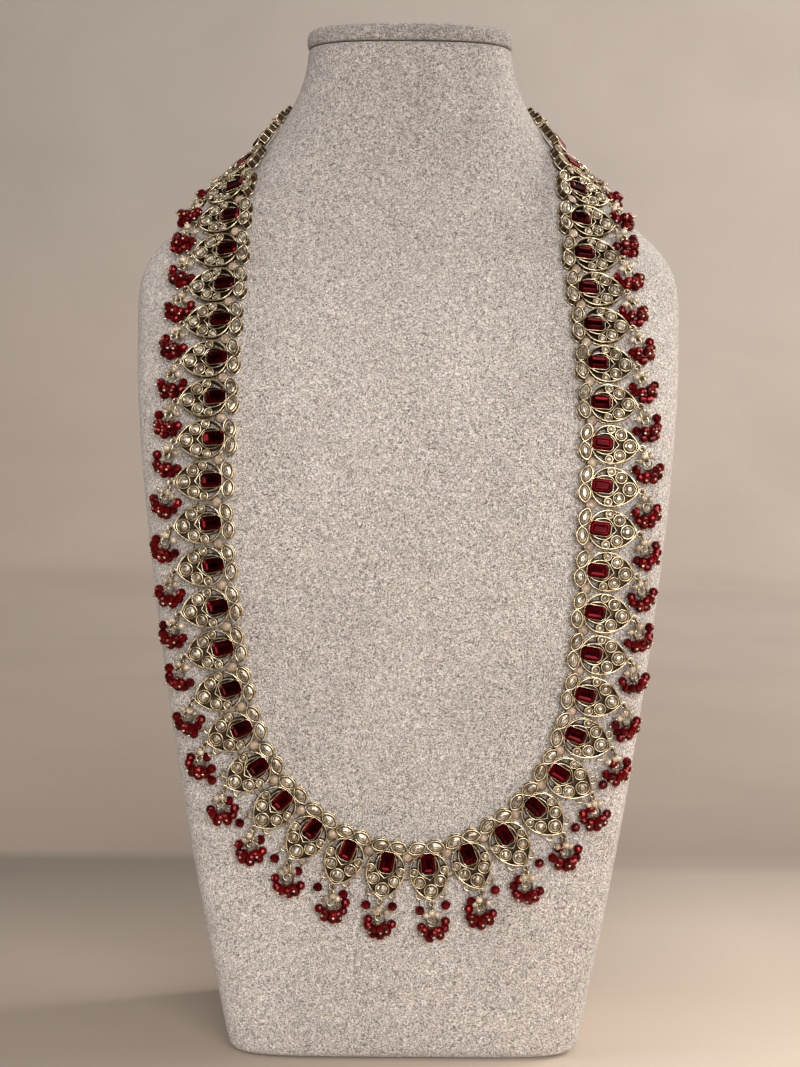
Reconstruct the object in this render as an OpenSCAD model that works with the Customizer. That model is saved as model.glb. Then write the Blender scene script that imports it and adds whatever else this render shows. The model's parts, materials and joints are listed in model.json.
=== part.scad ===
// Long necklace of openwork plates on its neck bust. Millimetres, +Z up, the front faces -Y.
// The origin is the middle of the bust's underside.

/* [Plates] */
// Distance from one plate's middle to the next, along the chain
pitch = 14.8; // [14.8:0.05:14.9]
// Plates on each side of the necklace
plates_per_side = 22; // [22]
// Widest point of a plate, across its flanks
plate_w = 14.2; // [13.6:0.1:14.2]
// From the red stone's middle to the plate's pointed tip
tip_reach = 13.4; // [12.8:0.1:13.4]
// Top of a plate's rim above the bust
rim_top = 3.3; // [3.1:0.1:3.6]
// How far a plate's tip sags sideways, as the tangent of the angle
sag = 0.09; // [0.06:0.01:0.12]

/* [Stones] */
// Length of the red octagon stone
ruby_l = 7.4; // [7:0.1:7.6]
// Width of the red octagon stone
ruby_w = 5.1; // [4.6:0.1:5.2]
// Diameter of the round clear stone at a plate's tip
tip_stone_d = 4.2; // [3.8:0.1:4.3]
// Length of a pointed oval stone's cup
navette_l = 6.4; // [6:0.1:6.4]
// Width of a pointed oval stone's cup
navette_w = 4.3; // [4:0.1:4.3]

/* [Drops] */
// Diameter of a red bead
bead_d = 3.4; // [3:0.1:3.4]
// Diameter of a cream pearl
pearl_d = 2.3; // [2:0.1:2.3]
// How far a drop swings outwards beside the next plate, as the tangent of the angle
lean = 0.5; // [0.46:0.01:0.52]

/* [Nape chain] */
// Length of a cable link
link_l = 6.4; // [6.2:0.1:6.5]
// Width of a cable link
link_w = 4.4; // [4.2:0.1:4.6]
// Thickness of the links' wire
link_wire = 0.8; // [0.7:0.05:0.85]

/* [Bust] */
// Height of the bust under its cap
bust_h = 371; // [371]
// Thickness of the cap on the neck
cap_t = 6.4; // [4:0.2:8]
// Gap under the cap, which shows as a dark seam
seam = 0.25; // [0.2:0.05:0.5]
// Rounding of the bust's bottom edge
foot_r = 4.2; // [2:0.2:6]

/* [Hidden] */
$fn = 48;
plate_count = 2 * plates_per_side;
function plate_name(i) = str("plate_", i < 10 ? "0" : "", i);

metal = "darkkhaki";
red = "darkred";
eps = 0.01;

// The bust's level sections, from the table up
// columns: height, half width, front, widest line, back, squareness
SECTIONS = [
    [0,   64.4,  -50.5, -8,   44,   6.5],
    [50,  74.1,  -51.5, -8,   46,   6.8],
    [110, 84.2,  -52,   -6,   50,   7],
    [170, 92.3,  -52,   -4,   53,   7],
    [205, 96.4,  -51.3, -1,   56,   6.5],
    [224, 98.6,  -48.4, 2,    57,   5.6],
    [240, 100.7, -44.4, 5.5,  57.5, 4.6],
    [265, 102.5, -36.4, 11,   58,   3.4],
    [284, 102.9, -27.8, 15,   58,   2.8],
    [293, 99.6,  -24,   17,   57.5, 2.65],
    [301, 91.3,  -21,   19,   57,   2.55],
    [312, 78.1,  -17.3, 21.5, 56,   2.5],
    [322, 67.2,  -14.5, 23.5, 54.5, 2.45],
    [332, 57.5,  -12,   24.5, 53,   2.4],
    [342, 49.8,  -10,   24,   51,   2.35],
    [353, 43.4,  -8.3,  22.5, 49,   2.4],
    [363, 39.6,  -7.3,  20.5, 47.5, 2.55],
    [bust_h, 38.9, -7, 19.5, 46, 2.7]];
HALF = 1;
FRONT = 2;
RIDGE = 3;
BACK = 4;
SQUARE = 5;

// The necklace's line under the red stones, a closed loop that starts at the back of the neck,
// goes down the left side and comes up the right one; each point is then set on the bust
// columns: across, depth, height
LOOP = [
    [0, 50.5, 347], [-28, 47.5, 346.5], [-46.5, 33, 343.5],
    [-55, 17.5, 333.5], [-61.4, 5, 320.9], [-64.8, -10.5, 302.1], [-66.2, -24.5, 277], [-67.5, -35.5, 251],
    [-68.1, -44.3, 223], [-68.9, -48, 194.9], [-66.5, -49, 165], [-62.1, -49.7, 135.9],
    [-53.9, -50.5, 110.7], [-40.9, -51, 92.5], [-22.3, -52, 78.7],
    [1.1, -52, 72.6],
    [24.2, -52, 77.2], [43.3, -51, 90.5], [56.6, -50.5, 109.9], [63.5, -49.6, 135],
    [66.3, -49, 164], [67.7, -48.3, 194], [68.3, -44.5, 222.5], [66.9, -35.5, 251.1],
    [64.3, -24.5, 277.7], [61.9, -10.8, 302.4], [58.7, 5, 321.4], [53.3, 17.5, 333.9],
    [46, 33, 343.5], [28, 47.5, 346.5]];
LOWEST = 15;

// A plate's own places, from its red stone's middle: across, towards the tip, above the bust
plate_foot = 0.3;
floor_top = 1.1;
rim_t = 0.8;
half_w = plate_w / 2;
belly = 2.7;
tip_len = tip_reach - belly;
flank_r = (half_w * half_w + tip_len * tip_len) / plate_w;
almond_half = 4.4;
almond_low = 0.5;
almond_tip = 6;
almond_r = (pow(almond_half, 2) + pow(almond_tip - almond_low, 2)) / (2 * almond_half);
wire_t = 0.5;
bezel_top = 3.7;
bezel_t = 0.45;
stone_fit = 0.12;
navette_top = 3.9;
navette_at = [3.25, -6.1];
navette_turn = 12;
// columns: across, towards the tip, cup radius
COLLETS = [[5.45, 2.65, 1.5], [-5.45, 2.65, 1.5], [3.65, 6.35, 2.1], [-3.65, 6.35, 2.1]];
collet_top = 3.15;
tip_cup_at = 9.3;
tip_cup_t = 0.4;
gap_cup = [6.8, -3.1];
gap_cup_r = 1.25;
gap_cup_top = 2.6;
eye_r = 1.03;
eye_wire = 0.28;
eye_level = 2.6;
eye_at = tip_reach + 0.9;
post_at = 5.5;
post_half = 0.3;
post_inset = 0.15;
post_level = 2;
slot_w = 1.15;
slot_h = 1.7;
slot_reach = 1.4;
link_inner = 0.7;
link_slack = 0.3;
link_t = 0.32;
link_h = 0.34;

// A drop's own places, from the plate's eye: across, down, outwards
ring_wire = 0.28;
jump_l = 5.4;
jump_w = 3;
bead_ring_r = 1.8;
bead_ring_at = jump_l - 2 * ring_wire + bead_ring_r;
pin_r = 0.22;
// columns: across, down, outwards
PEARLS = [[-2.2, 4, 0], [2.2, 4, 0]];
BEADS = [[-4.3, 7.5, -0.35], [-3.6, 10.9, -0.35], [-0.6, 12.8, -0.35], [2.7, 11.8, -0.35],
         [4.3, 8.7, -0.35], [4.7, 5.2, -0.35], [0.3, 9.6, 1.9]];
drop_rest = 2.6;

// The nape: its line runs beside the plates' line, through the pointed oval stones
ENDS = [-1, 1];
nape_line = -5.6;
nape_reach = 4;
end_eye = 7.5;
ring_gap = 2.9;
nape_half = 7.2;
nape_cup_at = 3;
nape_count = 2;
links_per_side = 5;
link_end = (link_l - link_wire) / 2;
link_play = 0.15;
joint_at = (link_l - link_play) / 2 - link_wire;
chain_level = link_w / 2 + 0.4;
clasp_d = 4.4;
clasp_round = 0.8;

function unit(v) = v / norm(v);

// Smooth value between the rows of a table whose first column is the height
function slope(t, i) =
    let (a = max(i - 1, 0), b = min(i + 1, len(t) - 1)) (t[b] - t[a]) / (t[b][0] - t[a][0]);
function blend(t, i, z) =
    let (h = t[i + 1][0] - t[i][0], k = (z - t[i][0]) / h, k2 = k * k, k3 = k2 * k)
    (2 * k3 - 3 * k2 + 1) * t[i] + (k3 - 2 * k2 + k) * h * slope(t, i)
    + (3 * k2 - 2 * k3) * t[i + 1] + (k3 - k2) * h * slope(t, i + 1);
function row_below(t, z, i) = i > 0 && t[i][0] > z ? row_below(t, z, i - 1) : i;
function section(z) =
    let (zc = min(max(z, 0), bust_h)) blend(SECTIONS, row_below(SECTIONS, zc, len(SECTIONS) - 2), zc);

// The bust as a field that is 0 on its surface, with the way out and the distance from it
function field(p) =
    let (s = section(p[2]), deep = p[1] < s[RIDGE] ? s[RIDGE] - s[FRONT] : s[BACK] - s[RIDGE])
    pow(pow(abs(p[0]) / s[HALF], s[SQUARE]) + pow(abs(p[1] - s[RIDGE]) / deep, s[SQUARE]),
        1 / s[SQUARE]) - 1;
probe = 0.2;
function gradient(p) = [for (e = [[probe, 0, 0], [0, probe, 0], [0, 0, probe]])
    (field(p + e) - field(p - e)) / (2 * probe)];
function outwards(p) = unit(gradient(p));
function height_over(p) = field(p) / norm(gradient(p));
function onto(p, steps = 3) =
    steps == 0 ? p : let (g = gradient(p)) onto(p - g * field(p) / (g * g), steps - 1);

// The loop as a smooth line on the bust, measured along its length
steps_per_span = 6;
function at_span(i, k) =
    let (n = len(LOOP), a = LOOP[(i + n - 1) % n], b = LOOP[i % n], c = LOOP[(i + 1) % n],
         d = LOOP[(i + 2) % n])
    0.5 * (2 * b + (c - a) * k + (2 * a - 5 * b + 4 * c - d) * k * k
           + (3 * b - a - 3 * c + d) * k * k * k);
function running(pts, i = 0, total = 0) =
    i == len(pts) - 1 ? [total]
    : concat([total], running(pts, i + 1, total + norm(pts[i + 1] - pts[i])));
function span_of(run, s, lo, hi) =
    hi - lo <= 1 ? lo
    : let (m = floor((lo + hi) / 2)) run[m] <= s ? span_of(run, s, m, hi) : span_of(run, s, lo, m);
function point_along(pts, run, s) =
    let (i = span_of(run, s, 0, len(pts) - 1), k = (s - run[i]) / (run[i + 1] - run[i]))
    pts[i] * (1 - k) + pts[i + 1] * k;
LINE = [for (i = [0:len(LOOP) * steps_per_span]) onto(at_span(floor(i / steps_per_span),
    (i % steps_per_span) / steps_per_span))];
RUN = running(LINE);
loop_length = RUN[len(RUN) - 1];
lowest_run = RUN[LOWEST * steps_per_span];
function loop_at(s) = point_along(LINE, RUN, s - floor(s / loop_length) * loop_length);

// A frame is its origin, then its ways across, towards the tip and outwards
down = [0, 0, -1];
function frame_flat(s, reach) =
    let (p = onto(loop_at(s), 2), n = outwards(p), along = loop_at(s + reach) - loop_at(s - reach),
         t = unit(along - n * (along * n)), tip = cross(t, n), fall = down - n * (down * n),
         y = unit(tip + sag * fall))
    [p, cross(y, n), y, n];
function place(f, v) = f[0] + f[1] * v[0] + f[2] * v[1] + f[3] * v[2];
function lifted(f, h) = [f[0] + f[3] * h, f[1], f[2], f[3]];
// Lifts a frame until each of its pads is clear of the bust
function seated(f, pads) = lifted(f, max([for (q = pads) -height_over(place(f, [q[0], q[1], 0]))]));
PADS = [[0, 0], [0, -8], [6.4, -6], [-6.4, -6], [7, 2.7], [-7, 2.7], [0, 13], [4, 10], [-4, 10]];

function plate_run(i) = lowest_run + (i - plates_per_side - 0.5) * pitch;
FRAMES = [for (i = [1:plate_count]) seated(frame_flat(plate_run(i), half_w), PADS)];

// A drop's frame: its ways across, down and outwards, at its plate's eye
function drop_frame(f) =
    let (p = place(f, [0, eye_at, eye_level]), n = outwards(onto(p)),
         fall = down - n * (down * n), out = f[2] - n * (f[2] * n),
         swing = lean * (1 - abs(n[2])) * (1 - abs(unit(fall) * unit(out))),
         d0 = unit(fall + swing * unit(out)),
         low = p + d0 * bead_ring_at * 1.5,
         d = unit(d0 * bead_ring_at * 1.5 + n * (drop_rest - height_over(low))),
         z = unit(n - d * (n * d)))
    [p, cross(d, z), d, z];

module put(f) {
    multmatrix([[f[1][0], f[2][0], f[3][0], f[0][0]],
                [f[1][1], f[2][1], f[3][1], f[0][1]],
                [f[1][2], f[2][2], f[3][2], f[0][2]],
                [0, 0, 0, 1]]) children();
}

// A frame whose last way runs from a to b
function aim(a, b) =
    let (z = unit(b - a), side = abs(z[0]) < 0.9 ? [1, 0, 0] : [0, 1, 0], x = unit(cross(side, z)))
    [a, x, cross(z, x), z];

module from_to(low, high) {
    translate([0, 0, low]) linear_extrude(high - low) children();
}

module ring(r, wire) {
    rotate_extrude() translate([r, 0]) circle(wire);
}

// Skins a stack of rings of points that all have the same number of points
module skin(rings) {
    n = len(rings[0]);
    m = len(rings);
    polyhedron(
        points = [for (r = rings, p = r) p],
        faces = concat(
            [for (j = [0:m - 2], i = [0:n - 1], half = [0, 1])
                let (a = j * n + i, b = j * n + (i + 1) % n, c = b + n, d = a + n)
                half == 0 ? [a, b, c] : [a, c, d]],
            [[for (i = [n - 1:-1:0]) i]],
            [[for (i = [0:n - 1]) (m - 1) * n + i]]));
}

ring_points = 42;
function superpow(c, e) = sign(c) * pow(abs(c), 2 / e);
function section_ring(z, shown_z, inset) =
    let (s = section(z))
    [for (i = [0:ring_points - 1])
        let (a = -360 * i / ring_points, c = superpow(cos(a), s[SQUARE]), d = superpow(sin(a), s[SQUARE]),
             deep = d < 0 ? s[RIDGE] - s[FRONT] : s[BACK] - s[RIDGE])
        [(s[HALF] - inset) * c, s[RIDGE] + (deep - inset) * d, shown_z]];

// Neck bust
foot_steps = 3;
body_rings = 27;
module display_bust() {
    foot = [for (k = [0:foot_steps]) let (a = 90 * k / foot_steps)
        section_ring(foot_r, foot_r * (1 - sin(a)), foot_r * (1 - cos(a)))];
    // The rings lie closer together towards the neck, where the bust curves most
    body = [for (k = [1:body_rings])
        let (t = k / body_rings, z = foot_r + (bust_h - foot_r) * t * (1.35 - 0.35 * t)) section_ring(z, z, 0)];
    color("tan") skin(concat([for (k = [foot_steps:-1:0]) foot[k]], body));
}

// Cap on the neck, columns: height within the cap as a share, inset from the neck's edge
CAP_EDGE = [[0, 0.2], [0.18, -0.7], [0.82, -0.6], [1, 1.2]];
module neck_cap() {
    color("tan") skin([for (e = CAP_EDGE) section_ring(bust_h, bust_h + seam + cap_t * e[0], e[1])]);
}

// Outline of a plate, drawn in by an inset
module teardrop(inset = 0) {
    translate([0, belly]) circle(half_w - inset, $fn = 72);
    intersection() {
        translate([half_w - flank_r, belly]) circle(flank_r - inset, $fn = 96);
        translate([flank_r - half_w, belly]) circle(flank_r - inset, $fn = 96);
        translate([-half_w, belly]) square([plate_w, tip_len]);
    }
}

module almond(inset = 0) {
    intersection() {
        translate([almond_half - almond_r, almond_low]) circle(almond_r - inset, $fn = 72);
        translate([almond_r - almond_half, almond_low]) circle(almond_r - inset, $fn = 72);
        translate([-half_w, -4.4]) square([plate_w, 12]);
    }
}

module navette(inset = 0) {
    r = (pow(navette_l, 2) + pow(navette_w, 2)) / (4 * navette_w);
    intersection() {
        translate([0, r - navette_w / 2]) circle(r - inset, $fn = 72);
        translate([0, navette_w / 2 - r]) circle(r - inset, $fn = 72);
    }
}

// Corners of a cut-cornered oblong, grown by an amount
corner_cut = 0.2;
function octagon(grow, share = 1) =
    let (x = ruby_w / 2 * share + grow, y = ruby_l / 2 * share + grow, c = ruby_w * corner_cut * share)
    [[x, c - y], [x, y - c], [x - c, y], [c - x, y], [-x, y - c], [-x, c - y], [c - x, -y], [x - c, -y]];

module at_navettes() {
    for (side = [1, -1])
        translate([side * navette_at[0], navette_at[1]]) rotate(side * navette_turn) children();
}

// Cup for a pointed oval stone: solid under a shallow seat
module navette_cup(foot) {
    difference() {
        from_to(foot, navette_top) navette();
        from_to(navette_top - 0.8, navette_top + 1) navette(bezel_t);
    }
}

module eye() {
    translate([0, 0, eye_level]) ring(eye_r, eye_wire);
}

// A link's post on a plate's flank, in line with the same post of the next plate: its places
// across and towards the tip
function other_frame(i, side) = FRAMES[min(max(i - 1 - side, 0), plate_count - 1)];
function post(i, side) =
    let (f = FRAMES[i - 1], step = other_frame(i, side)[0] - f[0],
         drift = norm(step) > 0 ? (step * f[2]) / abs(step * f[1]) : 0,
         v = post_at + drift * half_w)
    [side * (half_w - flank_r + sqrt(pow(flank_r, 2) - pow(v - belly, 2)) - rim_t / 2), v];

// The way that a link takes round its post
module link_way(i, side) {
    at = post(i, side);
    translate([at[0], at[1], post_level]) difference() {
        cube([2 * slot_reach, 2 * (post_half + slot_w), slot_h], center = true);
        translate([side * (slot_reach - rim_t / 2 + post_inset), 0, 0])
            cube([2 * slot_reach, 2 * post_half, slot_h + 1], center = true);
    }
}

module plate_metal(i) {
    difference() {
        union() {
            difference() {
                from_to(plate_foot, rim_top) teardrop();
                from_to(floor_top, rim_top + 1) teardrop(rim_t);
            }
            from_to(floor_top - eps, rim_top) difference() {
                almond();
                almond(wire_t);
            }
            from_to(floor_top - eps, bezel_top) polygon(octagon(stone_fit + bezel_t));
            for (c = COLLETS) translate([c[0], c[1], 0]) from_to(floor_top - eps, collet_top) circle(c[2]);
            translate([0, tip_cup_at, 0])
                from_to(floor_top - eps, collet_top) circle(tip_stone_d / 2 + stone_fit + tip_cup_t);
            at_navettes() navette_cup(plate_foot);
            translate([0, eye_at, 0]) eye();
            translate([gap_cup[0], gap_cup[1], 0]) from_to(plate_foot + 0.5, gap_cup_top) circle(gap_cup_r);
            translate([gap_cup[0] - 2.4, gap_cup[1] + 1.2, plate_foot + 0.5])
                rotate(-26) cube([2.4, 0.8, 0.8]);
        }
        from_to(floor_top, bezel_top + 1) polygon(octagon(stone_fit));
        translate([0, tip_cup_at, 0]) from_to(floor_top, collet_top + 1) circle(tip_stone_d / 2 + stone_fit);
        from_to(0, floor_top + eps) intersection() {
            difference() {
                translate([0, belly]) circle(half_w - rim_t - 0.2, $fn = 72);
                almond(-0.2);
            }
            translate([-half_w, -2.6]) square([plate_w, 3.7]);
        }
        for (side = [1, -1]) link_way(i, side);
    }
}

module plate(i) {
    color(metal) put(FRAMES[i - 1]) {
        plate_metal(i);
        if (i == 1) end_eye(-1);
        if (i == plate_count) end_eye(1);
    }
}

// Plates are counted from the left end round to the right one
LEFT = [1:plates_per_side];
RIGHT = [plates_per_side + 1:plate_count];

// A stone of stacked outlines, columns: height, share of the full outline
RUBY_CUT = [[0, 0.62], [1.9, 1], [2.4, 1], [3.3, 0.66]];
module rubies(side) {
    color(red) for (i = side) put(lifted(FRAMES[i - 1], floor_top + 0.1))
        skin([for (c = RUBY_CUT) [for (p = octagon(0, c[1])) [-p[0], p[1], c[0]]]]);
}

stone_sides = 8;
TIP_CUT = [[0, 0.85], [1.5, 1], [2.3, 0.62]];
module tip_stones(side) {
    color("linen") for (i = side) put(lifted(FRAMES[i - 1], floor_top + 0.1)) translate([0, tip_cup_at, 0])
        skin([for (c = TIP_CUT) [for (k = [0:stone_sides - 1]) let (a = -360 * k / stone_sides)
            [cos(a) * c[1] * tip_stone_d / 2, sin(a) * c[1] * tip_stone_d / 2, c[0]]]]);
}

// A round bead and the pin that it hangs on, as one turned solid
module on_pin(a, b, d) {
    put(aim(a, b)) rotate_extrude() union() {
        square([pin_r, norm(b - a)]);
        translate([0, norm(b - a)]) intersection() {
            circle(d / 2);
            translate([0, -d]) square([d, 2 * d]);
        }
    }
}

// Where a bead's pin leaves the ring
function ring_point(b) = [0, bead_ring_at, 0] + bead_ring_r * unit([b[0], b[1] - bead_ring_at, 0]);

// A long link of round wire, along x: two half rings and the two straight wires between them
module wire_link(l, w, wire) {
    r = (w - wire) / 2;
    straight = l - w;
    for (end = [1, -1]) {
        translate([end * straight / 2, 0, 0]) rotate(end * 90 - 180)
            rotate_extrude(angle = 180) translate([r, 0]) circle(wire / 2);
        translate([-straight / 2, end * r, 0]) rotate([0, 90, 0]) cylinder(r = wire / 2, h = straight);
    }
}

module drop() {
    translate([0, jump_l / 2 - ring_wire, 0]) rotate([90, 0, 90]) wire_link(jump_l, jump_w, 2 * ring_wire);
    translate([0, bead_ring_at, 0]) ring(bead_ring_r, ring_wire);
    for (b = PEARLS) on_pin([0, jump_l - 2 * ring_wire, 0], b, pearl_d);
    for (b = BEADS) on_pin(ring_point(b), b, bead_d);
}

module drops(side) {
    color("firebrick") for (i = side) put(drop_frame(FRAMES[i - 1])) drop();
}

// A flat oval link, from one end's middle to the other's
module oval(half, r) {
    square([2 * half, 2 * r], center = true);
    for (end = [1, -1]) translate([end * half, 0]) circle(r);
}

module plate_link(i) {
    a = place(FRAMES[i - 1], concat(post(i, -1), post_level));
    b = place(FRAMES[i], concat(post(i + 1, 1), post_level));
    x = unit(b - a);
    n = FRAMES[i - 1][3] + FRAMES[i][3];
    z = unit(n - x * (n * x));
    half = norm(b - a) / 2 + rim_t / 2 + link_slack - link_inner;
    put([(a + b) / 2, x, cross(z, x), z]) from_to(-link_h / 2, link_h / 2) difference() {
        oval(half, link_inner + link_t);
        oval(half, link_inner);
    }
}

module plate_links(side) {
    color(metal) for (i = side) if (i < plate_count) plate_link(i);
}

// The nape's line on one end's side, from the last plate's middle to the back of the neck
nape_steps = 24;
function nape_run(end, k) =
    let (from = plate_run(end > 0 ? plate_count : 1), to = end > 0 ? loop_length : 0)
    from + (to - from) * k / nape_steps;
function nape_line_points(end) = [for (k = [0:nape_steps])
    onto(place(frame_flat(nape_run(end, k), nape_reach), [0, nape_line, 0]), 2)];
NAPE_LINES = [for (end = ENDS) nape_line_points(end)];
NAPE_RUNS = [for (line = NAPE_LINES) running(line)];
function nape_at(e, s) = point_along(NAPE_LINES[e], NAPE_RUNS[e], s);

// A frame on the nape's line, facing away from the neck, with its x towards the clasp
function nape_frame(e, s, reach) =
    let (p = onto((nape_at(e, s + reach) + nape_at(e, s - reach)) / 2, 2), n = outwards(p),
         along = nape_at(e, s + reach) - nape_at(e, s - reach), x = unit(along - n * (along * n)))
    seated([p, x, cross(n, x), n], [[0, 0], [reach, 1.5], [-reach, 1.5], [reach, -1.5], [-reach, -1.5]]);

// Where each nape link's middle lies, and where the cable chain starts
function nape_middle(k) = end_eye + ring_gap + nape_half + k * (2 * nape_half + ring_gap);
chain_start = nape_middle(nape_count - 1) + nape_half;
NAPE_FRAMES = [for (e = [0, 1]) [for (k = [0:nape_count - 1]) nape_frame(e, nape_middle(k), nape_half)]];

// The eye that the end plate holds out towards the nape, in the plate's own places
function end_eye_place(end) = [-end * end_eye, nape_line, eye_level];
module eye_block() {
    linear_extrude(eye_level + eye_wire - plate_foot) square([1.6, 1.2], center = true);
}

module end_eye(end) {
    translate([-end * end_eye, nape_line, 0]) eye();
    translate([-end * (end_eye - eye_r - 0.6), nape_line, plate_foot]) eye_block();
}

module nape_link() {
    for (side = [1, -1]) {
        translate([side * nape_cup_at, 0, 0]) navette_cup(plate_foot);
        translate([side * nape_half, 0, 0]) eye();
        translate([side * (nape_half - eye_r - 0.5), 0, plate_foot]) eye_block();
    }
}

module nape_links() {
    color(metal) for (e = [0, 1], f = NAPE_FRAMES[e]) put(f) nape_link();
}

// A round ring through two eyes
module joining_ring(a, b, n) {
    x = unit(b - a);
    z = unit(n - x * (n * x));
    put([(a + b) / 2, x, z, cross(x, z)]) ring(norm(b - a) / 2 + 0.12, ring_wire);
}

module nape_rings() {
    color(metal) for (e = [0, 1]) {
        f = FRAMES[e == 0 ? 0 : plate_count - 1];
        joining_ring(place(f, end_eye_place(ENDS[e])),
            place(NAPE_FRAMES[e][0], [-nape_half, 0, eye_level]), f[3]);
        for (k = [1:nape_count - 1])
            joining_ring(place(NAPE_FRAMES[e][k - 1], [nape_half, 0, eye_level]),
                place(NAPE_FRAMES[e][k], [-nape_half, 0, eye_level]), NAPE_FRAMES[e][k][3]);
    }
}

// The chain's joints: the first is in the last nape link's eye, the rest follow the neck.
// Each is its run along the nape's line, then its point
function chain_at(e, s) = let (p = nape_at(e, s)) p + outwards(p) * chain_level;
function joint(e, j) =
    j == 0 ? [chain_start, place(NAPE_FRAMES[e][nape_count - 1], [nape_half, 0, eye_level])]
    : let (last = joint(e, j - 1), d = j == 1 ? joint_at + link_end : 2 * joint_at,
           s = last[0] + d * d / norm(chain_at(e, last[0] + d) - last[1]))
    [s, chain_at(e, s)];

// Links stand on edge and lie flat by turns, and both ends of a side stand on edge
function chain_frame(e, j) =
    let (near = joint(e, j)[1], far = joint(e, j + 1)[1], x = unit(far - near),
         middle = far - x * joint_at, n = outwards(middle), z = unit(n - x * (n * x)))
    [middle, x, cross(z, x), z];
module back_chain() {
    color(metal) for (e = [0, 1], j = [0:links_per_side - 1])
        put(chain_frame(e, j)) rotate([j % 2 == 0 ? 90 : 0, 0, 0]) wire_link(link_l, link_w, link_wire);
}

// Plain barrel clasp between the last two links
module clasp() {
    a = place(chain_frame(0, links_per_side - 1), [link_end, 0, 0]);
    b = place(chain_frame(1, links_per_side - 1), [link_end, 0, 0]);
    x = unit(b - a);
    n = outwards(onto((a + b) / 2));
    z = unit(n - x * (n * x));
    half = norm(b - a) / 2;
    barrel = half - eye_r - eye_wire / 2;
    color(metal) put([(a + b) / 2, x, cross(z, x), z]) {
        rotate([0, 90, 0]) rotate_extrude() {
            translate([0, -barrel + clasp_round]) square([clasp_d / 2, 2 * (barrel - clasp_round)]);
            translate([0, -barrel]) square([clasp_d / 2 - clasp_round, 2 * barrel]);
            for (end = [1, -1]) translate([clasp_d / 2 - clasp_round, end * (barrel - clasp_round)])
                circle(clasp_round);
        }
        for (side = [1, -1]) translate([side * half, 0, 0]) ring(eye_r, eye_wire);
    }
}

display_bust();
neck_cap();
for (i = [1:plate_count]) plate(i);
rubies(LEFT);  // rubies_left
rubies(RIGHT);  // rubies_right
tip_stones(LEFT);  // tip_stones_left
tip_stones(RIGHT);  // tip_stones_right
drops(LEFT);  // drops_left
drops(RIGHT);  // drops_right
plate_links(LEFT);  // plate_links_left
plate_links(RIGHT);  // plate_links_right
nape_links();
nape_rings();
back_chain();
clasp();
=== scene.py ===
# %% [markdown]
# A long openwork necklace on a plush neck bust
#
# The CAD model gives every plate, link and stone its place. This lesson dresses it: round wires,
# collets, cut stones, faceted beads and a plush cover. Each kind of piece is modelled once, lying
# flat at the origin and drawn in millimetres, and each copy is then carried to its own place.

# %% Load the frame
import json
import math
import random
import bpy
import numpy as np
from mathutils import Matrix, Vector

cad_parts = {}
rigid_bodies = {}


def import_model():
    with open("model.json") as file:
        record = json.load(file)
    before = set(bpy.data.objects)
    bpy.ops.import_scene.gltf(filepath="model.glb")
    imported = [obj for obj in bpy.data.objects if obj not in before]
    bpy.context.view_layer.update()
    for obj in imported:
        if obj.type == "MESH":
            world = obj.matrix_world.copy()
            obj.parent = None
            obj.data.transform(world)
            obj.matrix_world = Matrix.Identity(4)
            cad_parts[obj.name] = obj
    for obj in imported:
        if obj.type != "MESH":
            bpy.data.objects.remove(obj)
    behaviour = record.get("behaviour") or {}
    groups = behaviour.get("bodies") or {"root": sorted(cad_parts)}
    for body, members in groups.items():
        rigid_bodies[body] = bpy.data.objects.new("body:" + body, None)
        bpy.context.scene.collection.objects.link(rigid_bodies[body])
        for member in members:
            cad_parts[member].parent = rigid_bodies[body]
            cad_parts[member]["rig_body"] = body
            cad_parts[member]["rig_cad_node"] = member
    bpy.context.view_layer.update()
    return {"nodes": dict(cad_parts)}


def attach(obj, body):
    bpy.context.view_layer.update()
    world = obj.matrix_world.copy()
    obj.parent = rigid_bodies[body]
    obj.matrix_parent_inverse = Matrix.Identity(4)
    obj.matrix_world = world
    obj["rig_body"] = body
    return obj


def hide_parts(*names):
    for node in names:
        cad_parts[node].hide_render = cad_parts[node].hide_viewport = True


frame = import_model()
mm = 0.001
print("CAD nodes:", len(frame["nodes"]))

# %% [markdown]
# The camera
#
# The photograph was taken from about 70 cm, level with the chest, with a very slight roll. The lens
# follows from the focal length in the photograph's own pixels, over its longer side.

# %% Set the camera
PHOTO_HIGH, FOCAL_PIXELS, SENSOR = 1067, 1983, 36
camera_place = Vector((-2.5, -752, 238)) * mm
tilt, roll = math.radians(3.85), math.radians(0.45)
forward = Vector((0, math.cos(tilt), -math.sin(tilt)))
level = Vector((1, 0, 0))
above = level.cross(forward)
right_way = level * math.cos(roll) + above * math.sin(roll)
up_way = above * math.cos(roll) - level * math.sin(roll)
turn = Matrix((right_way, up_way, -forward)).transposed()

bpy.ops.object.select_all(action="DESELECT")
bpy.ops.object.camera_add(location=camera_place, rotation=turn.to_euler())
camera = bpy.context.object
camera.data.sensor_width = SENSOR
camera.data.lens = SENSOR * FOCAL_PIXELS / PHOTO_HIGH
bpy.context.scene.camera = camera
print("lens:", round(camera.data.lens, 1), "mm")

# %% [markdown]
# Small helpers for modelling
#
# Blender's operators act on whatever is selected, so each step starts by selecting only its own
# pieces. A flat shape starts from a square, whose corners are then edited. Joined parts become one
# mesh with all their materials.

# %% Start, pick and join pieces
def to_mode(name):
    bpy.ops.object.mode_set(mode=name)


def new_square():
    """A square of size 1 at the origin, open in edit mode"""
    bpy.ops.object.select_all(action="DESELECT")
    bpy.ops.mesh.primitive_plane_add(size=1)
    to_mode("EDIT")


def pick(*pieces):
    bpy.ops.object.select_all(action="DESELECT")
    for piece in pieces:
        piece.select_set(True)
    bpy.context.view_layer.objects.active = pieces[0]


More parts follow.
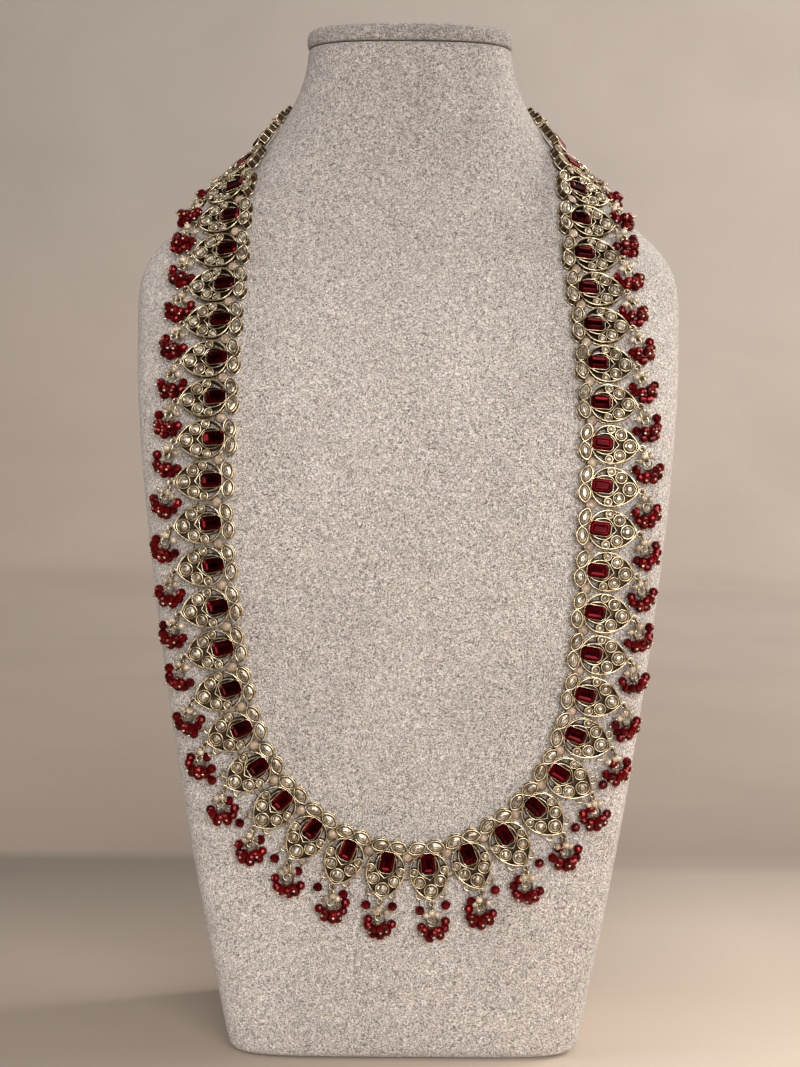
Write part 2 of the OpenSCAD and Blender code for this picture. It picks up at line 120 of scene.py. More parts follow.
def join(name, pieces):
    pick(*pieces)
    if len(pieces) > 1:
        bpy.ops.object.join()
    joined = bpy.context.object
    joined.name = joined.data.name = name
    return joined


def triangles(piece):
    return sum(len(p.vertices) - 2 for p in piece.data.polygons)

# %% [markdown]
# Materials
#
# A finish starts as one shader with plain values. Noise that is read at each point of the piece
# then varies its colour, its roughness or its height, so nothing looks like fresh plastic.

# %% Make a finish and vary it with noise
def new_finish(name, values):
    material = bpy.data.materials.new(name)
    material.use_nodes = True
    shader = material.node_tree.nodes["Principled BSDF"]
    for socket, value in values.items():
        shader.inputs[socket].default_value = value
    return material, material.node_tree, shader


def noise(tree, size, detail=2.0, distortion=0.0):
    place = tree.nodes.new("ShaderNodeTexCoord")
    texture = tree.nodes.new("ShaderNodeTexNoise")
    texture.inputs["Scale"].default_value = 1 / (size * mm)
    texture.inputs["Detail"].default_value = detail
    texture.inputs["Distortion"].default_value = distortion
    tree.links.new(place.outputs["Object"], texture.inputs["Vector"])
    return texture.outputs["Fac"]


def read_attribute(tree, name):
    node = tree.nodes.new("ShaderNodeAttribute")
    node.attribute_name = name
    return node.outputs["Fac"]


def ramp(tree, factor, stops, into=None):
    node = tree.nodes.new("ShaderNodeValToRGB")
    while len(node.color_ramp.elements) < len(stops):
        node.color_ramp.elements.new(0.5)
    for element, (position, colour) in zip(node.color_ramp.elements, stops):
        element.position = position
        element.color = (*colour, 1) if isinstance(colour, tuple) else (*[colour] * 3, 1)
    tree.links.new(factor, node.inputs["Fac"])
    if into:
        tree.links.new(node.outputs["Color"], into)
    return node.outputs["Color"]

# %% [markdown]
# Two patterns are joined by multiplying their colours, so that a dark curl in a shaded place is
# darker than either alone. A tone can also follow one of the piece's axes, and noise can stand for
# a low relief on a surface.

# %% Mix patterns, follow an axis and raise a relief
# The Mix node keeps a socket for each kind of value: these are the ones for colours
SHARE, FIRST_COLOUR, SECOND_COLOUR, MIXED_COLOUR = 0, 6, 7, 2


def mixed(tree, one, other, blend="MULTIPLY", share=1.0):
    """One colour multiplied by another, or mixed with it"""
    node = tree.nodes.new("ShaderNodeMix")
    node.data_type, node.blend_type = "RGBA", blend
    for socket, value in ((SHARE, share), (FIRST_COLOUR, one), (SECOND_COLOUR, other)):
        if isinstance(value, bpy.types.NodeSocket):
            tree.links.new(value, node.inputs[socket])
        else:
            node.inputs[socket].default_value = value
    return node.outputs[MIXED_COLOUR]


def times(tree, one, other, into):
    tree.links.new(mixed(tree, one, other), into)


def along_axis(tree, axis, low, high):
    """0 to 1 between two places on one of the piece's axes, in metres"""
    place = tree.nodes.new("ShaderNodeTexCoord")
    split = tree.nodes.new("ShaderNodeSeparateXYZ")
    reach = tree.nodes.new("ShaderNodeMapRange")
    reach.inputs["From Min"].default_value, reach.inputs["From Max"].default_value = low, high
    tree.links.new(place.outputs["Object"], split.inputs["Vector"])
    tree.links.new(split.outputs[axis], reach.inputs["Value"])
    return reach.outputs["Result"]


def bump(tree, shader, height, depth, strength=1.0):
    node = tree.nodes.new("ShaderNodeBump")
    node.inputs["Distance"].default_value = depth * mm
    node.inputs["Strength"].default_value = strength
    tree.links.new(height, node.inputs["Height"])
    tree.links.new(node.outputs["Normal"], shader.inputs["Normal"])


def mottled(name, values, size, tones):
    """A finish whose colour wanders between tones: (place on the noise, colour)"""
    material, tree, shader = new_finish(name, values)
    ramp(tree, noise(tree, size), tones, shader.inputs["Base Color"])
    return material, tree, shader

# %% [markdown]
# Metal
#
# The plates are cast and plated in a pale antique gold. Their high wires are rubbed bright and the
# recesses keep a dark brown patina. The small rings and pins are of a duller, browner wire. A single
# shader serves for each, because noise in its colour and roughness stands for the uneven rubbing.

# %% Pale gold, dark patina and dull wire
def gold_finish(name, roughness, low, middle, high):
    material, tree, shader = mottled(name, {"Metallic": 0.93, "Roughness": roughness}, 2.4,
                                     [(0.3, low), (0.5, middle), (0.72, high)])
    ramp(tree, noise(tree, 0.9), [(0.3, roughness - 0.08), (0.75, roughness + 0.12)],
         shader.inputs["Roughness"])
    bump(tree, shader, noise(tree, 0.7), 0.03)
    return material


pale_gold = gold_finish("pale_gold", 0.25,
                        (0.26, 0.186, 0.097), (0.63, 0.51, 0.325), (0.96, 0.85, 0.62))
dull_wire = gold_finish("dull_wire", 0.3,
                        (0.05, 0.034, 0.02), (0.17, 0.122, 0.075), (0.55, 0.44, 0.3))

patina, tree, shader = mottled("dark_patina", {"Metallic": 0.7, "Roughness": 0.5}, 1.6,
                               [(0.3, (0.014, 0.008, 0.004)), (0.7, (0.07, 0.042, 0.022))])
bump(tree, shader, noise(tree, 0.5), 0.05)
print("metals:", [finish.name for finish in (pale_gold, dull_wire, patina)])

# %% [markdown]
# Stones, beads and pearls
#
# Costume stones have foil behind them, so light comes back off the foil and they never look clear
# right through. Real glass would need many light bounces, and a solid glossy shader with some metal
# in it gives that look sooner. Each cut stone carries an attribute, from its middle to its edge, and
# the colour read from it is the painted light and shade of the facets: painted reflections of the
# inner facets in a red stone, and a painted highlight in the middle and painted shade at the edge of
# a clear one. Noise varies the tone from stone to stone, and painted glints vary it from facet to
# facet. The pearls and the peach stones have a thin clear coat over a mottled colour.

# %% Red stones and clear stones
ruby_glass, tree, shader = new_finish("ruby_glass", {
    "Roughness": 0.13, "Metallic": 0.86, "Specular IOR Level": 0.2})
# Painted reflections of the inner facets: a dark middle, two brighter red bands and a dark edge
cuts = ramp(tree, read_attribute(tree, "from_middle"),
            [(0.0, (0.014, 0.0, 0.001)), (0.3, (0.018, 0.0, 0.001)), (0.42, (0.088, 0.0, 0.002)),
             (0.6, (0.018, 0.0, 0.001)), (0.72, (0.108, 0.0, 0.002)), (1.0, (0.034, 0.0, 0.001))])
flecks = ramp(tree, noise(tree, 3.6, detail=0.0), [(0.36, 0.4), (0.5, 0.8), (0.62, 1.0)])
times(tree, cuts, flecks, shader.inputs["Base Color"])

clear_glass, tree, shader = new_finish("clear_glass", {
    "Roughness": 0.12, "Metallic": 0.4, "Coat Weight": 0.15, "Coat Roughness": 0.04})
# Painted light of the facets: a painted highlight in the middle, a darker ring, a brighter ring and
# painted shade at the edge
cuts = ramp(tree, read_attribute(tree, "from_middle"), [
    (0.0, (0.7, 0.65, 0.56)), (0.28, (0.88, 0.81, 0.69)), (0.4, (0.4, 0.33, 0.24)),
    (0.58, (0.33, 0.265, 0.18)), (0.74, (0.76, 0.66, 0.5)), (0.87, (0.22, 0.165, 0.1)),
    (1.0, (0.02, 0.012, 0.006))])
foil = ramp(tree, noise(tree, 4.5, detail=0.0), [(0.36, (0.5, 0.45, 0.4)), (0.58, (1.0, 1.0, 1.0))])
# Painted glints, which change from facet to facet
painted_glints = ramp(tree, noise(tree, 1.1, detail=0.0), [(0.4, 0.42), (0.5, 0.85), (0.6, 1.0)])
times(tree, cuts, mixed(tree, foil, painted_glints), shader.inputs["Base Color"])
print("cut stones:", ruby_glass.name, "and", clear_glass.name)

# %% Peach glass, red beads and pearls
peach_glass, *_ = mottled("peach_glass", {
    "Roughness": 0.4, "Coat Weight": 0.4, "Coat Roughness": 0.1},
    2.0, [(0.35, (0.24, 0.165, 0.11)), (0.65, (0.48, 0.35, 0.25))])
red_bead, *_ = mottled("red_bead", {
    "Roughness": 0.16, "Metallic": 0.55, "Specular IOR Level": 0.25,
    "Coat Weight": 0.06, "Coat Roughness": 0.03},
    2.6, [(0.3, (0.03, 0.0, 0.0)), (0.7, (0.19, 0.0, 0.002))])
pearl_cream, *_ = mottled("pearl_cream", {
    "Roughness": 0.3, "Coat Weight": 0.6, "Coat Roughness": 0.06, "Metallic": 0.15},
    3.2, [(0.35, (0.21, 0.15, 0.092)), (0.65, (0.68, 0.56, 0.41))])
print("beads and pearls:", [finish.name for finish in (peach_glass, red_bead, pearl_cream)])

# %% [markdown]
# Plush
#
# The bust wears a short brushed plush whose pile lies in little curls. Hair could make the pile, but
# it is under a millimetre deep, so distorted noise draws it: the same curls set the colour and the
# height. A much wider noise varies the tone a little, as where a hand has brushed the pile the other
# way. The neck and the cap carry painted shade: the colour grows darker with height there.

# %% Warm grey plush
plush, tree, shader = new_finish("warm_grey_plush", {
    "Roughness": 0.95, "Sheen Weight": 0.35, "Sheen Roughness": 0.4,
    "Sheen Tint": (0.9, 0.85, 0.8, 1)})
curls = noise(tree, 0.72, detail=1.5, distortion=2.2)
pile = ramp(tree, curls, [(0.38, (0.135, 0.112, 0.098)), (0.48, (0.41, 0.364, 0.33)),
                          (0.6, (0.89, 0.815, 0.76))])
brushed = ramp(tree, noise(tree, 34, detail=3.0, distortion=0.6), [(0.35, 0.88), (0.65, 1.0)])
SHOULDER_Z, TOP_Z = 0.24, 0.38
# Painted shade: darker up the neck and darkest on the cap
painted_shade_by_height = ramp(tree, along_axis(tree, "Z", SHOULDER_Z, TOP_Z),
             [(0.0, 1.0), (0.35, 0.93), (0.7, 0.79), (0.92, 0.76), (0.95, 0.6)])
times(tree, pile, mixed(tree, brushed, painted_shade_by_height), shader.inputs["Base Color"])
bump(tree, shader, curls, 0.6, 0.8)
print("plush:", len(tree.nodes), "nodes")

# %% [markdown]
# The stage
#
# A pale table runs back and sweeps up far behind, well past the reach of any other view's camera.
# Light and shade are painted into its tones. The wall's tone starts at the table's back edge, with
# painted shade in the corner, and its painted light grows with distance. The table has a painted pool
# of light round the bust and on its right, and painted shade at its back edge, on the left where the
# bust's shadow falls, and far in front. Painting these tones on one bent sheet is simpler than
# lighting a real corner to match them.

# %% Table and backdrop
stage_finish, tree, shader = new_finish("pale_stage", {"Roughness": 0.9})
TABLE, WALL = (0.62, 0.54, 0.47), (0.5, 0.425, 0.365)
# columns: distance back, base tone, how light as painted light and shade, how cool
TONES = [(-2.4, TABLE, 0.34, -0.1), (-1.3, TABLE, 0.26, -0.1), (-0.7, TABLE, 0.6, -0.1),
         (-0.02, TABLE, 0.8, -0.1), (0.11, TABLE, 0.62, -0.1), (0.2, TABLE, 0.48, -0.1),
         (0.262, TABLE, 0.38, -0.1),
         (0.264, WALL, 0.62, -0.09), (0.42, WALL, 0.74, -0.08), (0.63, WALL, 0.8, -0.08),
         (0.93, WALL, 0.87, -0.04), (1.39, WALL, 1.02, 0), (1.97, WALL, 1.2, 0),
         (2.3, WALL, 1.1, 0.01), (2.47, WALL, 1.12, 0.03), (2.6, WALL, 1.05, 0.1)]
NEAR, FAR, SIDE, BACK_EDGE = -3, 3, 0.3, (0.252, 0.27)


def share_back(y):
    """How far back a place is, from 0 to 1"""
    return (y - NEAR) / (FAR - NEAR)


depth = along_axis(tree, "Y", NEAR, FAR)
# The tone down the stage: base colours with painted light and shade
tone = ramp(tree, depth, [
    (share_back(y), tuple(c * light * (1 + k * cool / 2) for k, c in enumerate(base)))
    for y, base, light, cool in TONES])
clouds = ramp(tree, noise(tree, 260, detail=5.0, distortion=0.4), [(0.3, 0.9), (0.7, 1.0)])
# Painted shadow of the bust on the table's left and painted light on its right
painted_side_light = ramp(tree, along_axis(tree, "X", -SIDE, SIDE),
                  [(0.0, 0.64), (0.45, 1.0), (0.75, 1.6), (1.0, 1.6)])
is_wall = ramp(tree, depth, [(share_back(y), wall) for y, wall in zip(BACK_EDGE, (0.0, 1.0))])
sides = mixed(tree, painted_side_light, (1, 1, 1, 1), "MIX", is_wall)
times(tree, tone, mixed(tree, clouds, sides), shader.inputs["Base Color"])
print("stage tones:", len(TONES))

# %% Build the stage
# These sizes are metres
STAGE_W, STAGE_D, SWEEP_FROM, SWEEP, WALL_UP = 24, 11, 1.8, 0.8, 2.5
new_square()
stage = bpy.context.object
stage.name = "stage"
bpy.ops.transform.resize(value=(STAGE_W, STAGE_D, 1))
bpy.ops.transform.translate(value=(0, SWEEP_FROM - STAGE_D / 2, 0))
bpy.ops.mesh.select_all(action="DESELECT")
to_mode("OBJECT")
for vertex in stage.data.vertices:
    vertex.select = vertex.co.y > 0
to_mode("EDIT")
bpy.ops.mesh.spin(steps=24, angle=math.radians(-90), center=(0, SWEEP_FROM, SWEEP), axis=(1, 0, 0))
bpy.ops.mesh.extrude_region_move(TRANSFORM_OT_translate={"value": (0, 0, WALL_UP)})
bpy.ops.mesh.select_all(action="SELECT")
bpy.ops.mesh.remove_doubles(threshold=0.0001)
bpy.ops.mesh.normals_make_consistent(inside=True)
to_mode("OBJECT")
bpy.ops.object.shade_smooth_by_angle(angle=math.radians(30))
stage.data.materials.append(stage_finish)
print("stage:", len(stage.data.polygons), "faces, the table's normal z:",
      round(stage.data.polygons[0].normal.z, 2))

# %% [markdown]
# Light
#
# The room has a window on the right, a broad soft light from the front, weaker ones from the left
# and from above, and a lamp of its own for the wall, so that the wall can be lit without the bust.

# %% Lights
def soft_box(name, place, target, size, power, colour):
    way = (Vector(place) - Vector(target)).to_track_quat("Z", "Y")
    bpy.ops.object.light_add(type="AREA", location=place, rotation=way.to_euler())
    light = bpy.context.object
    light.name = name
    light.data.shape = "SQUARE"
    light.data.size = size
    light.data.energy = power
    light.data.color = colour
    light.visible_camera = False


CHEST, BACK_WALL = (0, -0.03, 0.2), (0.6, 2.5, 0.6)
WINDOW, ROOM, WARM = (1.0, 0.97, 0.93), (1.0, 0.97, 0.94), (1.0, 0.96, 0.92)
# columns: name, place, target, size, watts, colour
LIGHTS = [("window_right", (1.3, 0.2, 0.75), CHEST, 0.7, 11.5, WINDOW),
          ("room_front", (0.42, -1.85, 0.65), CHEST, 1.2, 37, ROOM),
          ("room_left", (-1.7, -0.3, 0.7), CHEST, 0.8, 12.5, ROOM),
          ("ceiling", (0.3, -0.1, 2.0), CHEST, 1.0, 6, ROOM),
          ("wall_wash", (1.6, 0.8, 1.6), BACK_WALL, 0.8, 36, WARM)]
for light in LIGHTS:
    soft_box(*light)
world = bpy.data.worlds.new("room")
world.use_nodes = True
background = world.node_tree.nodes["Background"].inputs
background["Color"].default_value = (0.85, 0.8, 0.74, 1)
background["Strength"].default_value = 0.2
bpy.context.scene.world = world
bpy.context.scene.view_settings.view_transform = "Standard"

# %% [markdown]
# Where everything lies
#
# The necklace lies on the bust, so the scene needs the same two curves as the CAD model: the bust's
# level sections and the necklace's line. All lengths here are millimetres, as in the CAD source.

# %% The bust as level sections
# columns: height, half width, front, widest line, back, squareness
SECTIONS = np.array([
    [0, 64.4, -50.5, -8, 44, 6.5], [50, 74.1, -51.5, -8, 46, 6.8],
    [110, 84.2, -52, -6, 50, 7], [170, 92.3, -52, -4, 53, 7],
    [205, 96.4, -51.3, -1, 56, 6.5], [224, 98.6, -48.4, 2, 57, 5.6],
    [240, 100.7, -44.4, 5.5, 57.5, 4.6], [265, 102.5, -36.4, 11, 58, 3.4],
    [284, 102.9, -27.8, 15, 58, 2.8], [293, 99.6, -24, 17, 57.5, 2.65],
    [301, 91.3, -21, 19, 57, 2.55], [312, 78.1, -17.3, 21.5, 56, 2.5],
    [322, 67.2, -14.5, 23.5, 54.5, 2.45], [332, 57.5, -12, 24.5, 53, 2.4],
    [342, 49.8, -10, 24, 51, 2.35], [353, 43.4, -8.3, 22.5, 49, 2.4],
    [363, 39.6, -7.3, 20.5, 47.5, 2.55], [371, 38.9, -7, 19.5, 46, 2.7]])


def slope(i):
    low, high = max(i - 1, 0), min(i + 1, len(SECTIONS) - 1)
    return (SECTIONS[high] - SECTIONS[low]) / (SECTIONS[high][0] - SECTIONS[low][0])


def section(z):
    """The section at a height, on a smooth curve through the listed ones"""
    z = min(max(z, 0), SECTIONS[-1][0])
    i = max(k for k in range(len(SECTIONS) - 1) if SECTIONS[k][0] <= z)
    step = SECTIONS[i + 1][0] - SECTIONS[i][0]
    k = (z - SECTIONS[i][0]) / step
    return ((2 * k**3 - 3 * k**2 + 1) * SECTIONS[i] + (k**3 - 2 * k**2 + k) * step * slope(i)
            + (3 * k**2 - 2 * k**3) * SECTIONS[i + 1] + (k**3 - k**2) * step * slope(i + 1))


def field(p):
    """0 on the bust, more outside it"""
    _, half, front, ridge, back, square = section(p[2])
    deep = ridge - front if p[1] < ridge else back - ridge
    return ((abs(p[0]) / half) ** square + (abs(p[1] - ridge) / deep) ** square) ** (1 / square) - 1


def gradient(p, step=0.2):
    return np.array([(field(p + e) - field(p - e)) / (2 * step) for e in np.eye(3) * step])


def unit(v):
    return v / np.linalg.norm(v)


def outwards(p):
    return unit(gradient(p))


def height_over(p):
    return field(p) / np.linalg.norm(gradient(p))


def onto(p, steps=3):
    """The place moved down or up to the bust"""
    for _ in range(steps):
        g = gradient(p)
        p = p - g * field(p) / (g @ g)
    return p


print("bust sections:", len(SECTIONS), "up to", SECTIONS[-1][0], "mm")

# %% [markdown]
# The line under the red stones is a smooth closed curve. It starts behind the neck, goes down the
# left side and comes up the right one, and each of its points is set onto the bust.

# %% The necklace's line
LOOP = np.array([
    [0, 50.5, 347], [-28, 47.5, 346.5], [-46.5, 33, 343.5], [-55, 17.5, 333.5],
    [-61.4, 5, 320.9], [-64.8, -10.5, 302.1], [-66.2, -24.5, 277], [-67.5, -35.5, 251],
    [-68.1, -44.3, 223], [-68.9, -48, 194.9], [-66.5, -49, 165], [-62.1, -49.7, 135.9],
    [-53.9, -50.5, 110.7], [-40.9, -51, 92.5], [-22.3, -52, 78.7],
    [1.1, -52, 72.6],
    [24.2, -52, 77.2], [43.3, -51, 90.5], [56.6, -50.5, 109.9],
    [63.5, -49.6, 135], [66.3, -49, 164], [67.7, -48.3, 194], [68.3, -44.5, 222.5],
    [66.9, -35.5, 251.1], [64.3, -24.5, 277.7], [61.9, -10.8, 302.4], [58.7, 5, 321.4],
    [53.3, 17.5, 333.9], [46, 33, 343.5], [28, 47.5, 346.5]])
SPAN_STEPS, LOWEST_POINT = 6, 15


def on_span(i, k):
    """The curve from one point to the next, with the two points beside them"""
    a, b, c, d = (LOOP[(i + j) % len(LOOP)] for j in (-1, 0, 1, 2))
    return 0.5 * (2 * b + (c - a) * k + (2 * a - 5 * b + 4 * c - d) * k**2
                  + (3 * b - a - 3 * c + d) * k**3)


def runs(points):
    return np.concatenate([[0], np.cumsum(np.linalg.norm(np.diff(points, axis=0), axis=1))])


def point_along(points, run, s):
    return np.array([np.interp(s, run, points[:, axis]) for axis in range(3)])


LINE = np.array([onto(on_span(i // SPAN_STEPS, i % SPAN_STEPS / SPAN_STEPS))
                 for i in range(len(LOOP) * SPAN_STEPS + 1)])
RUN = runs(LINE)
LOOP_LENGTH, LOWEST_RUN = RUN[-1], RUN[LOWEST_POINT * SPAN_STEPS]


def loop_at(s):
    return point_along(LINE, RUN, s % LOOP_LENGTH)


print("necklace line:", round(LOOP_LENGTH, 1), "mm")

# %% A frame for each plate
# A frame is its origin, then its ways across, towards the tip and outwards. The pads are the places
# under a plate that have to stay clear of the bust.
PLATES, PITCH, HALF_W, SAG = 44, 14.8, 7.1, 0.09
DOWN = np.array([0, 0, -1.0])
PADS = [[0, 0], [0, -8], [6.4, -6], [-6.4, -6], [7, 2.7], [-7, 2.7], [0, 13], [4, 10], [-4, 10]]


def place_in(f, v):
    return f[0] + f[1] * v[0] + f[2] * v[1] + f[3] * v[2]


def frame_flat(s, reach):
    p = onto(loop_at(s), 2)
    n = outwards(p)
    along = loop_at(s + reach) - loop_at(s - reach)
    tip = np.cross(unit(along - n * (along @ n)), n)
    y = unit(tip + SAG * (DOWN - n * (DOWN @ n)))
    return [p, np.cross(y, n), y, n]


def seated(f, pads):
    lift = max(-height_over(place_in(f, [x, y, 0])) for x, y in pads)
    return [f[0] + f[3] * lift, *f[1:]]


def plate_run(i):
    return LOWEST_RUN + (i - PLATES / 2 - 0.5) * PITCH


FRAMES = [seated(frame_flat(plate_run(i), HALF_W), PADS) for i in range(1, PLATES + 1)]


def matrix_of(f, lift=(0, 0, 0)):
    """Carries a mesh from millimetres at the origin to its place in metres"""
    origin = place_in(f, lift)
    rows = [[f[1][r], f[2][r], f[3][r], origin[r]] for r in range(3)]
    return Matrix.Scale(mm, 4) @ Matrix([*rows, [0, 0, 0, 1]])


print("lowest plates at z =", [round(FRAMES[PLATES // 2 + i][0][2], 1) for i in (-1, 0)])

# %% [markdown]
# A pen for wires
#
# Most of this jewel is bent wire. The pen starts as one vertex, which the spin tool drags round an
# arc and leaves selected at its end, so arcs follow each other. Turning the line into a curve gives
# it a round section, and turning that back into a mesh makes it a wire.

# %% The pen and its strokes
POINTS_MEET = 0.002


def start_pen(x, y, z):
    new_square()
    bpy.ops.mesh.merge(type="CENTER")
    bpy.ops.transform.translate(value=(x, y, z))


def arc(x, y, z, degrees, steps):
    """Drags the pen round a centre, anticlockwise from above, or clockwise below 0 degrees"""
    bpy.ops.mesh.spin(steps=steps, angle=-math.radians(degrees), center=(x, y, z), axis=(0, 0, 1))


def straight(dx, dy, dz):
    bpy.ops.mesh.extrude_vertices_move(TRANSFORM_OT_translate={"value": (dx, dy, dz)})


def end_pen():
    bpy.ops.mesh.select_all(action="SELECT")
    bpy.ops.mesh.remove_doubles(threshold=POINTS_MEET)

# %% [markdown]
# The drawn line becomes a wire or, where it is closed, a face that is raised into a solid by steps,
# as one extrudes and insets by hand. A cut stone keeps its facets flat, and a drum is smoothed by
# angle.

# %% Wires and solids from a drawn line
def wire(finish, radius, sides=6):
    """The drawn line as a round wire"""
    end_pen()
    to_mode("OBJECT")
    bpy.ops.object.convert(target="CURVE")
    curve = bpy.context.object.data
    curve.bevel_depth = radius
    curve.bevel_resolution = (sides - 4) // 2
    curve.use_fill_caps = True
    bpy.ops.object.convert(target="MESH")
    piece = bpy.context.object
    piece.data.materials.clear()
    piece.data.materials.append(finish)
    bpy.ops.object.shade_smooth()
    return piece


def solid(finish, steps, smooth=None):
    """The drawn outline filled, raised and drawn in, step by step: (inwards, upwards)"""
    end_pen()
    bpy.ops.mesh.edge_face_add()
    return raised(finish, steps, smooth)


def raised(finish, steps, smooth=None):
    """The selected face raised and drawn in by the same steps"""
    for inwards, upwards in steps:
        if inwards:
            bpy.ops.mesh.inset(thickness=inwards, use_even_offset=True)
            bpy.ops.transform.translate(value=(0, 0, upwards))
        else:
            bpy.ops.mesh.extrude_region_move(TRANSFORM_OT_translate={"value": (0, 0, upwards)})
    bpy.ops.mesh.select_all(action="SELECT")
    bpy.ops.mesh.normals_make_consistent(inside=False)
    to_mode("OBJECT")
    piece = bpy.context.object
    piece.data.materials.append(finish)
    if smooth:
        bpy.ops.object.shade_smooth_by_angle(angle=math.radians(smooth))
    return piece

# %% [markdown]
# The outlines
#
# A plate is a pointed drop: half a circle and two wider arcs that meet at the tip. The inner arch
# bulges round the red stone and runs straight to its point, and the pointed oval is two arcs that
# meet at both ends.

# %% Draw a plate's outlines
BELLY, TIP_REACH = 2.7, 13.4
TIP_LEN = TIP_REACH - BELLY
FLANK_R = (HALF_W**2 + TIP_LEN**2) / (2 * HALF_W)
ARCH_HALF, ARCH_LOW, ARCH_TIP = 4.0, 1.25, 6.05
ARCH_TURN, ARCH_SIDE, ARCH_FOOT = 3.6, 7.15, 30
OVAL_L, OVAL_W = 7.1, 4.6
OVAL_R = (OVAL_L**2 + OVAL_W**2) / (4 * OVAL_W)
print("plate:", 2 * HALF_W, "mm wide, with flanks of", round(FLANK_R, 2), "mm radius")


def flank_x(y):
    """How far a plate's flank is from its middle line"""
    return HALF_W - FLANK_R + math.sqrt(FLANK_R**2 - (y - BELLY)**2)


def draw_rim(inset, z):
    reach, side = FLANK_R - inset, FLANK_R - HALF_W
    turned = math.degrees(math.acos(side / reach))
    start_pen(0, BELLY + math.sqrt(reach**2 - side**2), z)
    arc(-side, BELLY, z, -turned, 14)
    arc(0, BELLY, z, -180, 30)
    arc(side, BELLY, z, -turned, 14)


def draw_arch(inset, z):
    """Up one flank, round its shoulder and straight to the tip, then down the same way"""
    turn, side = ARCH_TURN - inset, ARCH_SIDE - inset
    inner, outer = ARCH_HALF - ARCH_TURN, ARCH_SIDE - ARCH_HALF
    reach = ARCH_TIP - ARCH_LOW - 1.4 * inset
    lean = math.degrees(math.atan2(inner, reach) + math.asin(turn / math.hypot(inner, reach)))
    x, y = inner + turn * math.cos(math.radians(lean)), turn * math.sin(math.radians(lean))
    foot = math.radians(-ARCH_FOOT)
    start_pen(-outer + side * math.cos(foot), ARCH_LOW + side * math.sin(foot), z)
    arc(-outer, ARCH_LOW, z, ARCH_FOOT, 6)
    arc(inner, ARCH_LOW, z, lean, 8)
    straight(-x, reach - y, 0)
    straight(-x, y - reach, 0)
    arc(-inner, ARCH_LOW, z, lean, 8)
    arc(outer, ARCH_LOW, z, ARCH_FOOT, 6)


def draw_round(x, y, r, z, steps=20):
    start_pen(x + r, y, z)
    arc(x, y, z, 360, steps)


def draw_oval(inset, z, steps=12):
    r, side = OVAL_R - inset, OVAL_R - OVAL_W / 2
    foot = math.degrees(math.asin(side / r))
    start_pen(r * math.cos(math.radians(foot)), 0, z)
    arc(0, -side, z, 180 - 2 * foot, steps)
    arc(0, side, z, 180 - 2 * foot, steps)

# %% [markdown]
# One plate's metal
#
# The floor is a thin dark sheet with a crescent pierced on each side of the red stone. Two round
# wires, one low and one high, follow the outline, with short posts between them and a thin dark wall
# inside the posts, so the sides show dark windows. The floor is a drawn outline, filled and raised,
# and a boolean pierces it.

# %% The pierced floor
FLOOR_FOOT, FLOOR, FLOOR_IN, RIM_LOW, RIM_TOP, RIM_WIRE = 0.45, 1.1, 0.35, 0.62, 3.3, 0.27
CRESCENT_TOP, CRESCENT_LOW, CUTTER_FOOT, CUTTER_TALL = 1.15, -1.9, -0.5, 3.0


def crescent(side):
    """A cutter between the inner arch and the rim, from below the floor to well above it"""
    r_out, r_in, middle = HALF_W - 1.0, ARCH_SIDE + 0.3, ARCH_HALF - ARCH_SIDE
    in_top, in_low = CRESCENT_TOP - ARCH_LOW, CRESCENT_LOW - ARCH_LOW
    out_top, out_low = BELLY - CRESCENT_TOP, BELLY - CRESCENT_LOW
    down_in = math.degrees(math.asin(in_top / r_in) - math.asin(in_low / r_in))
    up_out = math.degrees(math.asin(out_low / r_out) - math.asin(out_top / r_out))
    start_pen(side * (middle + math.sqrt(r_in**2 - in_top**2)), CRESCENT_TOP, CUTTER_FOOT)
    arc(side * middle, ARCH_LOW, CUTTER_FOOT, -side * down_in, 6)
    inner_x, outer_x = middle + math.sqrt(r_in**2 - in_low**2), math.sqrt(r_out**2 - out_low**2)
    straight(side * (outer_x - inner_x), 0, 0)
    arc(0, BELLY, CUTTER_FOOT, side * up_out, 6)
    return solid(patina, [(0, CUTTER_TALL)])


def pierce(piece, cutters):
    for cutter in cutters:
        pick(piece)
        cut = piece.modifiers.new("pierce", "BOOLEAN")
        cut.operation, cut.object, cut.solver = "DIFFERENCE", cutter, "EXACT"
        bpy.ops.object.modifier_apply(modifier=cut.name)
        bpy.data.objects.remove(cutter)
    return piece


cutters = [crescent(1), crescent(-1)]
draw_rim(FLOOR_IN, FLOOR_FOOT)
floor = pierce(solid(patina, [(0, FLOOR - FLOOR_FOOT)]), cutters)
print("floor:", triangles(floor), "triangles")

# %% The rim's two wires and its posts
POST_FOOT, POST_TOP, POST_IN = 0.6, RIM_TOP - 0.3, 0.3
BELLY_POSTS, FLANK_POSTS = (-160, -138, -116, -94, -72, -50, -26, -2), (9.2, 11.1, 12.6)


def post(x, y, low, high, radius=0.26):
    start_pen(x, y, low)
    straight(0, 0, high - low)
    return wire(pale_gold, radius)


draw_rim(RIM_WIRE, RIM_TOP - RIM_WIRE)
rim_high = wire(pale_gold, RIM_WIRE, 8)
draw_rim(RIM_WIRE, RIM_LOW)
rim_low = wire(pale_gold, RIM_WIRE)
rim_posts = []
for degrees in BELLY_POSTS:
    x, y = math.cos(math.radians(degrees)), math.sin(math.radians(degrees))
    rim_posts.append(post((HALF_W - POST_IN) * x, BELLY + (HALF_W - POST_IN) * y, POST_FOOT, POST_TOP))
for side in (1, -1):
    for y in FLANK_POSTS:
        rim_posts.append(post(side * (flank_x(y) - POST_IN), y, POST_FOOT, POST_TOP))
print("rim posts:", len(rim_posts))

